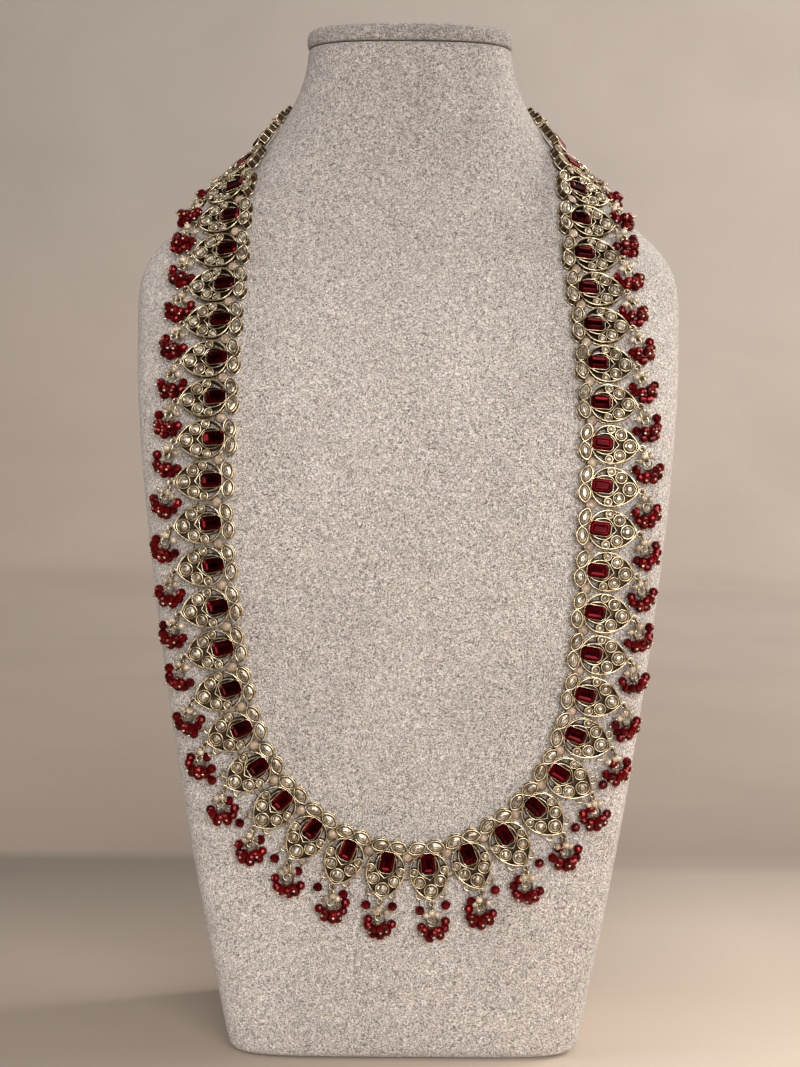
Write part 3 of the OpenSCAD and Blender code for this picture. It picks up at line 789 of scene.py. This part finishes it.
# %% Thin dark walls, inside the rim's posts and under the inner arch
def wall(low, high, thickness):
    """The drawn line raised into a thin wall"""
    end_pen()
    bpy.ops.mesh.extrude_region_move(TRANSFORM_OT_translate={"value": (0, 0, high - low)})
    to_mode("OBJECT")
    piece = bpy.context.object
    piece.data.materials.append(patina)
    thick = piece.modifiers.new("thickness", "SOLIDIFY")
    thick.thickness, thick.offset = thickness, 0
    bpy.ops.object.modifier_apply(modifier=thick.name)
    return piece


# What stands on the floor starts a little way down in it
STAND, WALL_IN, RIM_WALL = FLOOR - 0.1, 0.62, 0.16
ARCH_IN, ARCH_WALL, ARCH_WIRE, ARCH_LEVEL = 0.25, 0.25, 0.23, RIM_TOP - 0.25
draw_rim(WALL_IN, POST_FOOT)
rim_wall = wall(POST_FOOT, RIM_TOP - 0.35, RIM_WALL)
draw_arch(ARCH_IN, STAND)
arch_wall = wall(STAND, POST_TOP, ARCH_WALL)
draw_arch(ARCH_IN, ARCH_LEVEL)
arch_wire = wire(pale_gold, ARCH_WIRE, 8)
print("walls:", triangles(rim_wall), "and", triangles(arch_wall), "triangles")

# %% [markdown]
# Cups
#
# Every round or pointed stone sits in a cup: a dark drum with a round wire on its edge. One function
# makes them all from an outline, drawn once for the drum and once for the wire.

# %% Cups for the round and the pointed oval stones
def cup(draw, foot, top, radius, sides=8, finish=pale_gold):
    draw(radius, foot)
    drum = solid(patina, [(0, top - radius - foot)], smooth=40)
    draw(radius, top - radius)
    return [drum, wire(finish, radius, sides)]


# columns: across, towards the tip, radius
COLLETS = [(5.4, 2.6, 1.6), (-5.4, 2.6, 1.6), (3.7, 6.3, 2.24), (-3.7, 6.3, 2.24), (0, 9.75, 2.6)]
COLLET_TOP, COLLET_WIRE = 3.25, 0.22
collets = []
for x, y, r in COLLETS:
    collets += cup(lambda inset, z: draw_round(x, y, r - inset, z), STAND, COLLET_TOP, COLLET_WIRE)

OVAL_FOOT, OVAL_TOP, OVAL_WIRE, LOW_WIRE, LOW_IN, OVAL_POST = 0.5, 3.9, 0.24, 0.26, 0.28, 0.22
OVAL_POSTS = ((3.2, 0), (-3.2, 0), (1.3, 1.65), (-1.3, 1.65), (1.3, -1.65), (-1.3, -1.65))
# columns: across, towards the tip, degrees turned
OVALS = [(3.3, -6.15, 13), (-3.3, -6.15, -13)]


def turned_to(pieces, x, y, degrees):
    turning = Matrix.Rotation(math.radians(degrees), 4, "Z")
    for piece in pieces:
        piece.data.transform(Matrix.Translation((x, y, 0)) @ turning)
    return pieces


def oval_cup():
    """A pointed oval cup between a high wire and a low one"""
    parts = cup(draw_oval, OVAL_FOOT, OVAL_TOP, OVAL_WIRE)
    draw_oval(LOW_IN, POST_FOOT)
    parts.append(wire(pale_gold, LOW_WIRE))
    return parts + [post(x, y, POST_FOOT, OVAL_TOP - 0.4, OVAL_POST) for x, y in OVAL_POSTS]


oval_cups = [part for x, y, degrees in OVALS for part in turned_to(oval_cup(), x, y, degrees)]

# A small round cup fills the gap to the next plate, and a short arm holds it to its own plate
GAP_CUP, GAP_R, GAP_FOOT, GAP_TOP, GAP_WIRE = (7.1, -3.2), 1.95, 0.8, 2.75, 0.12
ARM_START, ARM_END, ARM_LEVEL, ARM_WIRE = (5.7, -2.6), (4.6, -2.0), 1.2, 0.28
gap_cup = cup(lambda inset, z: draw_round(*GAP_CUP, GAP_R - inset, z, 16), GAP_FOOT, GAP_TOP,
              GAP_WIRE, 6, dull_wire)
start_pen(*ARM_START, ARM_LEVEL)
straight(ARM_END[0] - ARM_START[0], ARM_END[1] - ARM_START[1], 0)
gap_cup.append(wire(pale_gold, ARM_WIRE))
print("cups:", len(COLLETS) + len(OVALS) + 1)

# %% [markdown]
# The red stone's bezel and the eye
#
# The bezel is an oblong with cut corners: a plane is sized, its corners are bevelled, and the
# outline that is left is used as the pen's line.

# %% Bezel and eye
RUBY_W, RUBY_L, RUBY_AT, CORNER = 5.0, 7.4, -0.35, 1.0


def draw_octagon(grow, z, towards_tip=0.0):
    new_square()
    bpy.ops.transform.resize(value=(RUBY_W + 2 * grow, RUBY_L + 2 * grow + towards_tip, 1))
    bpy.ops.transform.translate(value=(0, RUBY_AT + towards_tip / 2, z))
    bpy.ops.mesh.bevel(offset=CORNER + 0.6 * grow, affect="VERTICES", segments=1)
    bpy.ops.mesh.select_all(action="SELECT")


def ring(x, y, z, r, radius, sides=6, steps=16, finish=pale_gold):
    draw_round(x, y, r, z, steps)
    return wire(finish, radius, sides)


BEZEL_TOP, BEZEL_WIRE, BEZEL_GROW, BEZEL_LONGER = 3.5, 0.15, 0.06, 0.42
draw_octagon(BEZEL_GROW, STAND)
bezel_wall = raised(patina, [(0, BEZEL_TOP - FLOOR - 0.2)])
draw_octagon(BEZEL_GROW, BEZEL_TOP - BEZEL_WIRE, BEZEL_LONGER)
bpy.ops.mesh.delete(type="ONLY_FACE")
bezel_wire = wire(pale_gold, BEZEL_WIRE, 8)
EYE_AT, EYE_LEVEL, EYE_R, EYE_WIRE = TIP_REACH + 0.9, 2.6, 1.03, 0.28
eye = ring(0, EYE_AT, EYE_LEVEL, EYE_R, EYE_WIRE, 8)

plate = join("plate", [rim_high, rim_low, *rim_posts, rim_wall, floor, arch_wire, arch_wall,
                       *collets, *oval_cups, *gap_cup, bezel_wall, bezel_wire, eye])
print("one plate's metal:", triangles(plate), "triangles")

# %% [markdown]
# The stones
#
# A step-cut stone is an octagon raised and drawn in by steps. Its flat top then sinks a little, in
# two more steps, because through the real table one sees the steep facets underneath. The share of
# the way from its middle to its edge is kept on its points for the finish to read.

# %% The red step-cut stone
def from_middle(piece, share):
    shade = piece.data.attributes.new("from_middle", "FLOAT", "POINT")
    for vertex, value in zip(piece.data.vertices, shade.data):
        value.value = share(vertex.co)
    return piece


def in_octagon(co):
    x, y = abs(co.x), abs(co.y - RUBY_AT)
    wide, long, slant = RUBY_W / 2, RUBY_L / 2, (RUBY_W + RUBY_L) / 2 - CORNER
    return max(x, y - long + wide, x + y - slant + wide) / wide


RUBY_FOOT, RUBY_GROW = 2.9, 0.04
RUBY_STEPS = [(0, 0.75), (0.42, 0.4), (0.4, 0.3), (0.22, 0.0), (0.5, -0.16), (0.4, -0.05)]
draw_octagon(RUBY_GROW, RUBY_FOOT)
ruby = raised(ruby_glass, RUBY_STEPS)
from_middle(ruby, in_octagon)
print("red stone:", triangles(ruby), "triangles")

# %% [markdown]
# The clear stones are rose cuts: low domes of flat facets with a small flat top. Each outline is
# drawn with few steps, so the facets stay large enough to flash.

# %% Clear and peach rose cuts
# How far a stone is in from its cup's outline, and how far under the cup's top it starts
COLLET_SET, OVAL_SET, GAP_SET = (0.46, 0.5), (0.52, 0.58), (0.2, 0.35)


def set_stone(draw, z, finish, cuts):
    """A stone cut at level 0, then raised to its cup"""
    draw(0)
    stone = solid(finish, cuts)
    corners = np.array([v.co for v in stone.data.vertices])
    middle, reach = (corners.max(0) + corners.min(0)) / 2, (corners.max(0) - corners.min(0)) / 2

    def in_outline(co):
        return min(1.0, math.hypot(*((co[k] - middle[k]) / reach[k] for k in (0, 1))))

    from_middle(stone, in_outline)
    stone.data.transform(Matrix.Translation((0, 0, z)))
    return stone


def rose_cut(x, y, r, z, finish, sides=10):
    return set_stone(lambda level: draw_round(x, y, r, level, sides), z, finish,
                     [(0, 0.2), (0.3 * r, 0.28 * r), (0.28 * r, 0.12 * r), (0.2 * r, 0.03 * r)])


def oval_stone():
    inwards, down = OVAL_SET
    return set_stone(lambda level: draw_oval(inwards, level, 6), OVAL_TOP - down, clear_glass,
                     [(0, 0.15), (0.5, 0.36), (0.5, 0.2), (0.35, 0.05)])


inwards, down = COLLET_SET
collet_stones = [rose_cut(x, y, r - inwards, COLLET_TOP - down, clear_glass) for x, y, r in COLLETS]
oval_stones = [turned_to([oval_stone()], x, y, degrees)[0] for x, y, degrees in OVALS]
gap_stone = rose_cut(*GAP_CUP, GAP_R - GAP_SET[0], GAP_TOP - GAP_SET[1], peach_glass, 9)
clear_stones = join("clear_stones", [*collet_stones, *oval_stones, gap_stone])
print("clear stones of one plate:", triangles(clear_stones), "triangles")

# %% [markdown]
# The drops
#
# Under each plate hangs an oval link on edge, with a second, paler link turned beside it and pearls
# on its lower end, then a ring that carries a cluster of red beads on headed pins, and a small pale
# ring in front of it. Five bead layouts keep neighbours from looking alike.

# %% Where a drop hangs
# A drop leans by LEAN at most towards its plate's tip, and is DROP_REST above the cloth at DROP_SHARE
# of the bead ring's distance, which is about where its beads lie
LEAN, DROP_REST, DROP_SHARE, BEAD_RING_R = 0.5, 2.6, 1.5, 1.8
JUMP_L, JUMP_W, JUMP_IN = 5.4, 3.0, 0.28
JUMP_END = JUMP_L - 2 * JUMP_IN
BEAD_RING_AT = JUMP_END + BEAD_RING_R


def drop_frame(f):
    """The drop falls down the bust, partly the way of its plate's tip, and rests on the cloth"""
    p = place_in(f, [0, EYE_AT, EYE_LEVEL])
    n = outwards(onto(p))
    fall, out = DOWN - n * (DOWN @ n), f[2] - n * (f[2] @ n)
    swing = LEAN * (1 - abs(n[2])) * (1 - abs(unit(fall) @ unit(out)))
    first = unit(fall + swing * unit(out))
    hang = first * BEAD_RING_AT * DROP_SHARE
    d = unit(hang + n * (DROP_REST - height_over(p + hang)))
    z = unit(n - d * (n @ d))
    return [p, np.cross(d, z), d, z]


DROP_FRAMES = [drop_frame(f) for f in FRAMES]
print("lowest drop hangs from z =", round(min(f[0][2] for f in DROP_FRAMES), 1))

# %% One bead, one pearl and one pin
FLATTENED = 0.94


def pointing(a, b):
    """Carries what stands along Z at the origin to stand on a and point at b"""
    way = (Vector(b) - Vector(a)).to_track_quat("Z", "Y")
    return Matrix.Translation(a) @ way.to_matrix().to_4x4()


def bead(diameter, finish, segments, rings, smooth):
    """A slightly flattened ball, smooth or with flat facets"""
    bpy.ops.object.select_all(action="DESELECT")
    bpy.ops.mesh.primitive_uv_sphere_add(segments=segments, ring_count=rings, radius=diameter / 2)
    piece = bpy.context.object
    to_mode("EDIT")
    bpy.ops.transform.resize(value=(1, 1, FLATTENED))
    to_mode("OBJECT")
    if smooth:
        bpy.ops.object.shade_smooth()
    piece.data.materials.append(finish)
    return piece


BEAD_D, PEARL_D, HEAD_D, HEAD_OUT, PIN_WIRE = 3.55, 2.55, 1.0, 0.12, 0.18
# columns: diameter, finish, segments, rings, smooth
BEAD_KIND = (BEAD_D, red_bead, 10, 7, False)
PEARL_KIND = (PEARL_D, pearl_cream, 12, 8, True)


def pinned(start, centre, diameter, *kind):
    """A bead on its pin, with the pin's head showing past the bead"""
    length = (Vector(centre) - Vector(start)).length
    ball = bead(diameter, *kind)
    ball.data.transform(Matrix.Translation((0, 0, length)))
    start_pen(0, 0, 0)
    straight(0, 0, length + diameter / 2)
    pin = wire(dull_wire, PIN_WIRE)
    head = bead(HEAD_D, pale_gold, 8, 6, True)
    head.data.transform(Matrix.Translation((0, 0, length + diameter / 2 + HEAD_OUT)))
    for piece in (ball, pin, head):
        piece.data.transform(pointing(start, centre))
    return ball, pin, head

# %% [markdown]
# Each layout starts from one list near the CAD model's, with two more beads and a pearl in front.
# Seeded chance moves each of them a little and mirrors some layouts, and every run gives the same.

# %% Layouts of beads and pearls
# columns: across, down, outwards
PEARLS = [(-2.2, 4.0, 0), (2.2, 4.0, 0), (0.4, 3.0, 1.4)]
BEADS = [(-4.2, 8.5, -0.35), (-2.9, 11.2, -0.35), (-0.3, 12.3, -0.35), (2.5, 11.5, -0.35),
         (4.2, 9.2, -0.35), (4.4, 6.3, -0.35), (0.2, 9.9, 1.9), (-2.1, 9.2, 1.6), (2.3, 9.4, 1.5)]
SEEDS = (3, 5, 8, 13, 21)
BEAD_SHIFT, SHIFT_SHARES = 0.5, (1, 1, 0.4)


def layout(seed):
    chance = random.Random(seed)
    mirrored = (chance.choice((1, -1)), 1, 1)

    def moved(place):
        return tuple(v * way + chance.uniform(-BEAD_SHIFT, BEAD_SHIFT) * share
                     for v, way, share in zip(place, mirrored, SHIFT_SHARES))

    return [[moved(place) for place in group] for group in (PEARLS, BEADS)]


print("layouts:", len(SEEDS), "of", len(BEADS), "beads and", len(PEARLS), "pearls")

# %% Five drops
def oval_link(length, width, radius, at, turned, finish=dull_wire):
    """A long link whose length runs along Y, turned about it by some degrees"""
    r = (width - 2 * radius) / 2
    half = length / 2 - radius - r
    start_pen(r, -half, 0)
    straight(0, 2 * half, 0)
    arc(0, half, 0, 180, 8)
    straight(0, -2 * half, 0)
    arc(0, -half, 0, 180, 8)
    piece = wire(finish, radius)
    turning = Matrix.Rotation(math.radians(turned), 4, "Y")
    piece.data.transform(Matrix.Translation((0, at, 0)) @ turning)
    return piece


def ring_point(centre):
    """Where a bead's pin leaves the ring"""
    middle = Vector((0, BEAD_RING_AT, 0))
    way = (Vector(centre) - middle) * Vector((1, 1, 0))
    return tuple(middle + way.normalized() * BEAD_RING_R)


def make_drop(seed):
    pearls, beads = layout(seed)
    findings = [oval_link(JUMP_L, JUMP_W, 0.3, JUMP_L / 2 - JUMP_IN, 90),
                oval_link(JUMP_L - 0.8, JUMP_W - 0.4, 0.32, JUMP_L / 2 + 0.1, 40 + 3 * seed,
                          pale_gold),
                ring(0, BEAD_RING_AT, 0, BEAD_RING_R, 0.38, 6, 20, dull_wire),
                ring(0.5, BEAD_RING_AT - 1.1, 0.9, 1.25, 0.26, 6, 14)]
    cream = [pinned((0, JUMP_END, 0), centre, *PEARL_KIND) for centre in pearls]
    red = [pinned(ring_point(centre), centre, *BEAD_KIND) for centre in beads]
    findings += [wire_part for ball, *wires in cream + red for wire_part in wires]
    return [join("findings", findings), join("pearls", [ball for ball, *_ in cream]),
            join("beads", [ball for ball, *_ in red])]


drops = [make_drop(seed) for seed in SEEDS]
print("triangles of a drop's findings, pearls and beads:", [triangles(part) for part in drops[0]])

# %% [markdown]
# Under the lowest plates more red beads hang between the drops, each on a pin from a small loop on
# the plate's flank. A loop is an open arc of wire that starts inside the rim. A plate's two beads
# hang at different heights, so that they don't look like a mirrored pair.

# %% The small loops and their beads under the lowest plates
LOOPED = range(17, 29)
# places: across, towards the tip
SIDE_START, SIDE_MIDDLE, SIDE_PIN, SIDE_BEAD = (2.8, 11.0), (4.1, 11.3), (4.5, 12.55), (4.7, 16.0)
SIDE_LEVEL, BEAD_LEVEL, SIDE_TURN, SIDE_WIRE, BEAD_STAGGER = 1.9, 2.2, 230, 0.34, 0.5


def side_loop(side):
    start_pen(side * SIDE_START[0], SIDE_START[1], SIDE_LEVEL)
    arc(side * SIDE_MIDDLE[0], SIDE_MIDDLE[1], SIDE_LEVEL, -side * SIDE_TURN, 14)
    return wire(pale_gold, SIDE_WIRE)


loop_parts, bead_parts = [side_loop(1), side_loop(-1)], []
for side in (1, -1):
    start = (side * SIDE_PIN[0], SIDE_PIN[1], SIDE_LEVEL)
    centre = (side * SIDE_BEAD[0], SIDE_BEAD[1] + side * BEAD_STAGGER, BEAD_LEVEL)
    ball, *wires = pinned(start, centre, *BEAD_KIND)
    bead_parts.append(ball)
    loop_parts += wires
side_beads = join("side_beads", bead_parts)
side_loops = join("side_loops", loop_parts)
print("plates with side beads:", len(LOOPED))

# %% [markdown]
# Copies in their places
#
# A copy takes its own mesh, which one matrix turns, scales from millimetres to metres and carries
# to its place. The object itself stays at the origin, unturned and unscaled.

# %% Carry copies to their places
def copy_to(model, matrix):
    piece = model.copy()
    piece.data = model.data.copy()
    bpy.context.collection.objects.link(piece)
    piece.data.transform(matrix)
    return piece


def hand_over(piece, slot, *nodes):
    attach(piece, "root")
    if nodes:
        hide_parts(*nodes)
    return piece


LINK_AT, LINK_IN, LINK_POST = 5.5, 0.4, 0.28


def post_place(i, side):
    """Where a link holds a plate's flank: higher or lower as the neighbour is"""
    f, other = FRAMES[i - 1], FRAMES[min(max(i - 1 - side, 0), PLATES - 1)]
    step = other[0] - f[0]
    drift = (step @ f[2]) / abs(step @ f[1]) if np.linalg.norm(step) > 0 else 0
    y = LINK_AT + drift * HALF_W
    return side * (flank_x(y) - LINK_IN), y


link_post = post(0, 0, POST_FOOT, POST_TOP, LINK_POST)
for i, f in enumerate(FRAMES, 1):
    parts = [copy_to(plate, matrix_of(f))]
    parts += [copy_to(link_post, matrix_of(f, [*post_place(i, side), 0])) for side in (1, -1)]
    if i in LOOPED:
        parts.append(copy_to(side_loops, matrix_of(f)))
    hand_over(join(f"plate_{i:02d}_openwork", parts), "gold", f"plate_{i:02d}")
print("plates in place:", PLATES)

# %% Stones, beads and findings on each side
SIDES = {"left": range(1, PLATES // 2 + 1), "right": range(PLATES // 2 + 1, PLATES + 1)}


def copies_at(model, frames):
    return [copy_to(model, matrix_of(f)) for f in frames]


for name, numbers in SIDES.items():
    frames = [FRAMES[i - 1] for i in numbers]
    rubies, clears = copies_at(ruby, frames), copies_at(clear_stones, frames)
    hand_over(join(f"rubies_{name}_cut", rubies), "ruby", f"rubies_{name}")
    hand_over(join(f"clear_stones_{name}_cut", clears), "clear_stone", f"tip_stones_{name}")
    groups = [[], [], []]
    for i in numbers:
        for group, model in zip(groups, drops[i % len(drops)]):
            group.append(copy_to(model, matrix_of(DROP_FRAMES[i - 1])))
        if i in LOOPED:
            groups[2].append(copy_to(side_beads, matrix_of(FRAMES[i - 1])))
    hand_over(join(f"drop_findings_{name}", groups[0]), "gold", f"drops_{name}")
    hand_over(join(f"pearls_{name}", groups[1]), "pearl")
    hand_over(join(f"red_beads_{name}", groups[2]), "bead_red")

# %% [markdown]
# The nape
#
# Beyond the last plates the chain goes on as pairs of pointed oval stones, then as a plain cable
# chain behind the neck. The chain, its rings and its clasp are right as they are in the CAD model,
# so they only take the gold finish, and the flat links between the plates take the duller one.

# %% Where the nape's links lie
NAPE_HALF, END_EYE, RING_GAP, NAPE_LINE, NAPE_STEPS = 7.2, 7.5, 2.9, -5.6, 24
NAPE_PADS = [[0, 0], *([x, y] for y in (1.5, -1.5) for x in (NAPE_HALF, -NAPE_HALF))]


def nape_points(end):
    """The nape's line on the bust, from an end plate to the middle of the back"""
    start, stop = plate_run(PLATES if end > 0 else 1), LOOP_LENGTH if end > 0 else 0
    steps = [start + (stop - start) * k / NAPE_STEPS for k in range(NAPE_STEPS + 1)]
    return np.array([onto(place_in(frame_flat(s, 4), [0, NAPE_LINE, 0]), 2) for s in steps])


def nape_frame(points, s):
    run = runs(points)
    far, near = (point_along(points, run, s + reach) for reach in (NAPE_HALF, -NAPE_HALF))
    p = onto((far + near) / 2, 2)
    n = outwards(p)
    x = unit(far - near - n * ((far - near) @ n))
    return seated([p, x, np.cross(n, x), n], NAPE_PADS)


NAPE_RUNS = [END_EYE + RING_GAP + NAPE_HALF + k * (2 * NAPE_HALF + RING_GAP) for k in (0, 1)]
NAPE_FRAMES = [nape_frame(nape_points(end), s) for end in (-1, 1) for s in NAPE_RUNS]
print("nape links at:", [tuple(round(v) for v in f[0]) for f in NAPE_FRAMES])

# %% Nape links
# A thick post ties each cup to its eye
NAPE_OVAL, TIE_IN, TIE_TOP, TIE_POST = 3, 1.5, 2.8, 0.5
nape_metal = []
for side in (1, -1):
    nape_metal += turned_to(oval_cup(), side * NAPE_OVAL, 0, 0)
    nape_metal += [ring(side * NAPE_HALF, 0, EYE_LEVEL, EYE_R, EYE_WIRE, 8),
                   post(side * (NAPE_HALF - TIE_IN), 0, POST_FOOT, TIE_TOP, TIE_POST)]
nape_link = join("nape_link", nape_metal)
nape_ovals = [turned_to([oval_stone()], side * NAPE_OVAL, 0, 0)[0] for side in (1, -1)]
nape_stone = join("nape_stone", nape_ovals)
nape_links = join("nape_links_openwork", copies_at(nape_link, NAPE_FRAMES))
hand_over(nape_links, "gold", "nape_links")
hand_over(join("nape_stones", copies_at(nape_stone, NAPE_FRAMES)), "clear_stone")
print("nape links:", len(NAPE_FRAMES))

# %% Finish the chain, rings and clasp
KEPT = {"plate_links_left": dull_wire, "plate_links_right": dull_wire, "nape_rings": pale_gold,
        "back_chain": pale_gold, "clasp": pale_gold}
for name, finish in KEPT.items():
    node = frame["nodes"][name]
    node.data.materials.clear()
    node.data.materials.append(finish)
print("kept from the CAD model:", list(KEPT))

# %% [markdown]
# The bust
#
# The cover is one smooth skin. A copy of the CAD solid gives its form: its loose triangles are
# merged back into rings of quads, the flat ends are drawn in so that their edges stay, and
# subdivision rounds what is between. The cap on the neck is made the same way.

# %% A merged copy of a CAD solid
SAME_PLACE = 0.01 * mm


def merged_copy(node, name):
    piece = node.copy()
    piece.data = node.data.copy()
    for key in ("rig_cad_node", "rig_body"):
        if key in piece:
            del piece[key]
    piece.parent = None
    piece.name = piece.data.name = name
    bpy.context.collection.objects.link(piece)
    pick(piece)
    to_mode("EDIT")
    bpy.ops.mesh.select_all(action="SELECT")
    bpy.ops.mesh.remove_doubles(threshold=SAME_PLACE)
    bpy.ops.mesh.select_mode(type="FACE")
    bpy.ops.mesh.select_all(action="DESELECT")
    to_mode("OBJECT")
    return piece

# %% Cover the bust and the cap with plush
EDGE_IN, MIDDLE_IN, ROUNDING = 0.8 * mm, 20 * mm, 2


def covered(node_name, name):
    piece = merged_copy(frame["nodes"][node_name], name)
    heights = [v.co.z for v in piece.data.vertices]
    for end in (min(heights), max(heights)):
        for face in piece.data.polygons:
            face.select = all(abs(piece.data.vertices[v].co.z - end) < SAME_PLACE
                              for v in face.vertices)
        to_mode("EDIT")
        bpy.ops.mesh.dissolve_faces()
        bpy.ops.mesh.inset(thickness=EDGE_IN)
        bpy.ops.mesh.inset(thickness=MIDDLE_IN)
        bpy.ops.mesh.select_all(action="DESELECT")
        to_mode("OBJECT")
    to_mode("EDIT")
    bpy.ops.mesh.select_all(action="SELECT")
    bpy.ops.mesh.tris_convert_to_quads()
    bpy.ops.mesh.select_mode(type="VERT")
    to_mode("OBJECT")
    rounder = piece.modifiers.new("round", "SUBSURF")
    rounder.levels = rounder.render_levels = ROUNDING
    bpy.ops.object.modifier_apply(modifier=rounder.name)
    bpy.ops.object.shade_smooth_by_angle(angle=math.radians(50))
    piece.data.materials.clear()
    piece.data.materials.append(plush)
    hand_over(piece, "plush", node_name)
    print(name, triangles(piece), "triangles, box", [round(v / mm) for v in piece.dimensions], "mm")


covered("display_bust", "bust_cover")
covered("neck_cap", "cap_cover")

# %% [markdown]
# Clearing up
#
# The models that the copies came from are removed, and the count of pieces and of their triangles is
# printed.

# %% Clear away the models and finish
for model in [plate, ruby, clear_stones, side_loops, side_beads, link_post, nape_link, nape_stone,
              *(piece for drop in drops for piece in drop)]:
    bpy.data.objects.remove(model)
dressed = [o for o in bpy.data.objects if o.type == "MESH" and not o.hide_render and o is not stage]
print("pieces:", len(dressed), "triangles:", sum(triangles(o) for o in dressed))
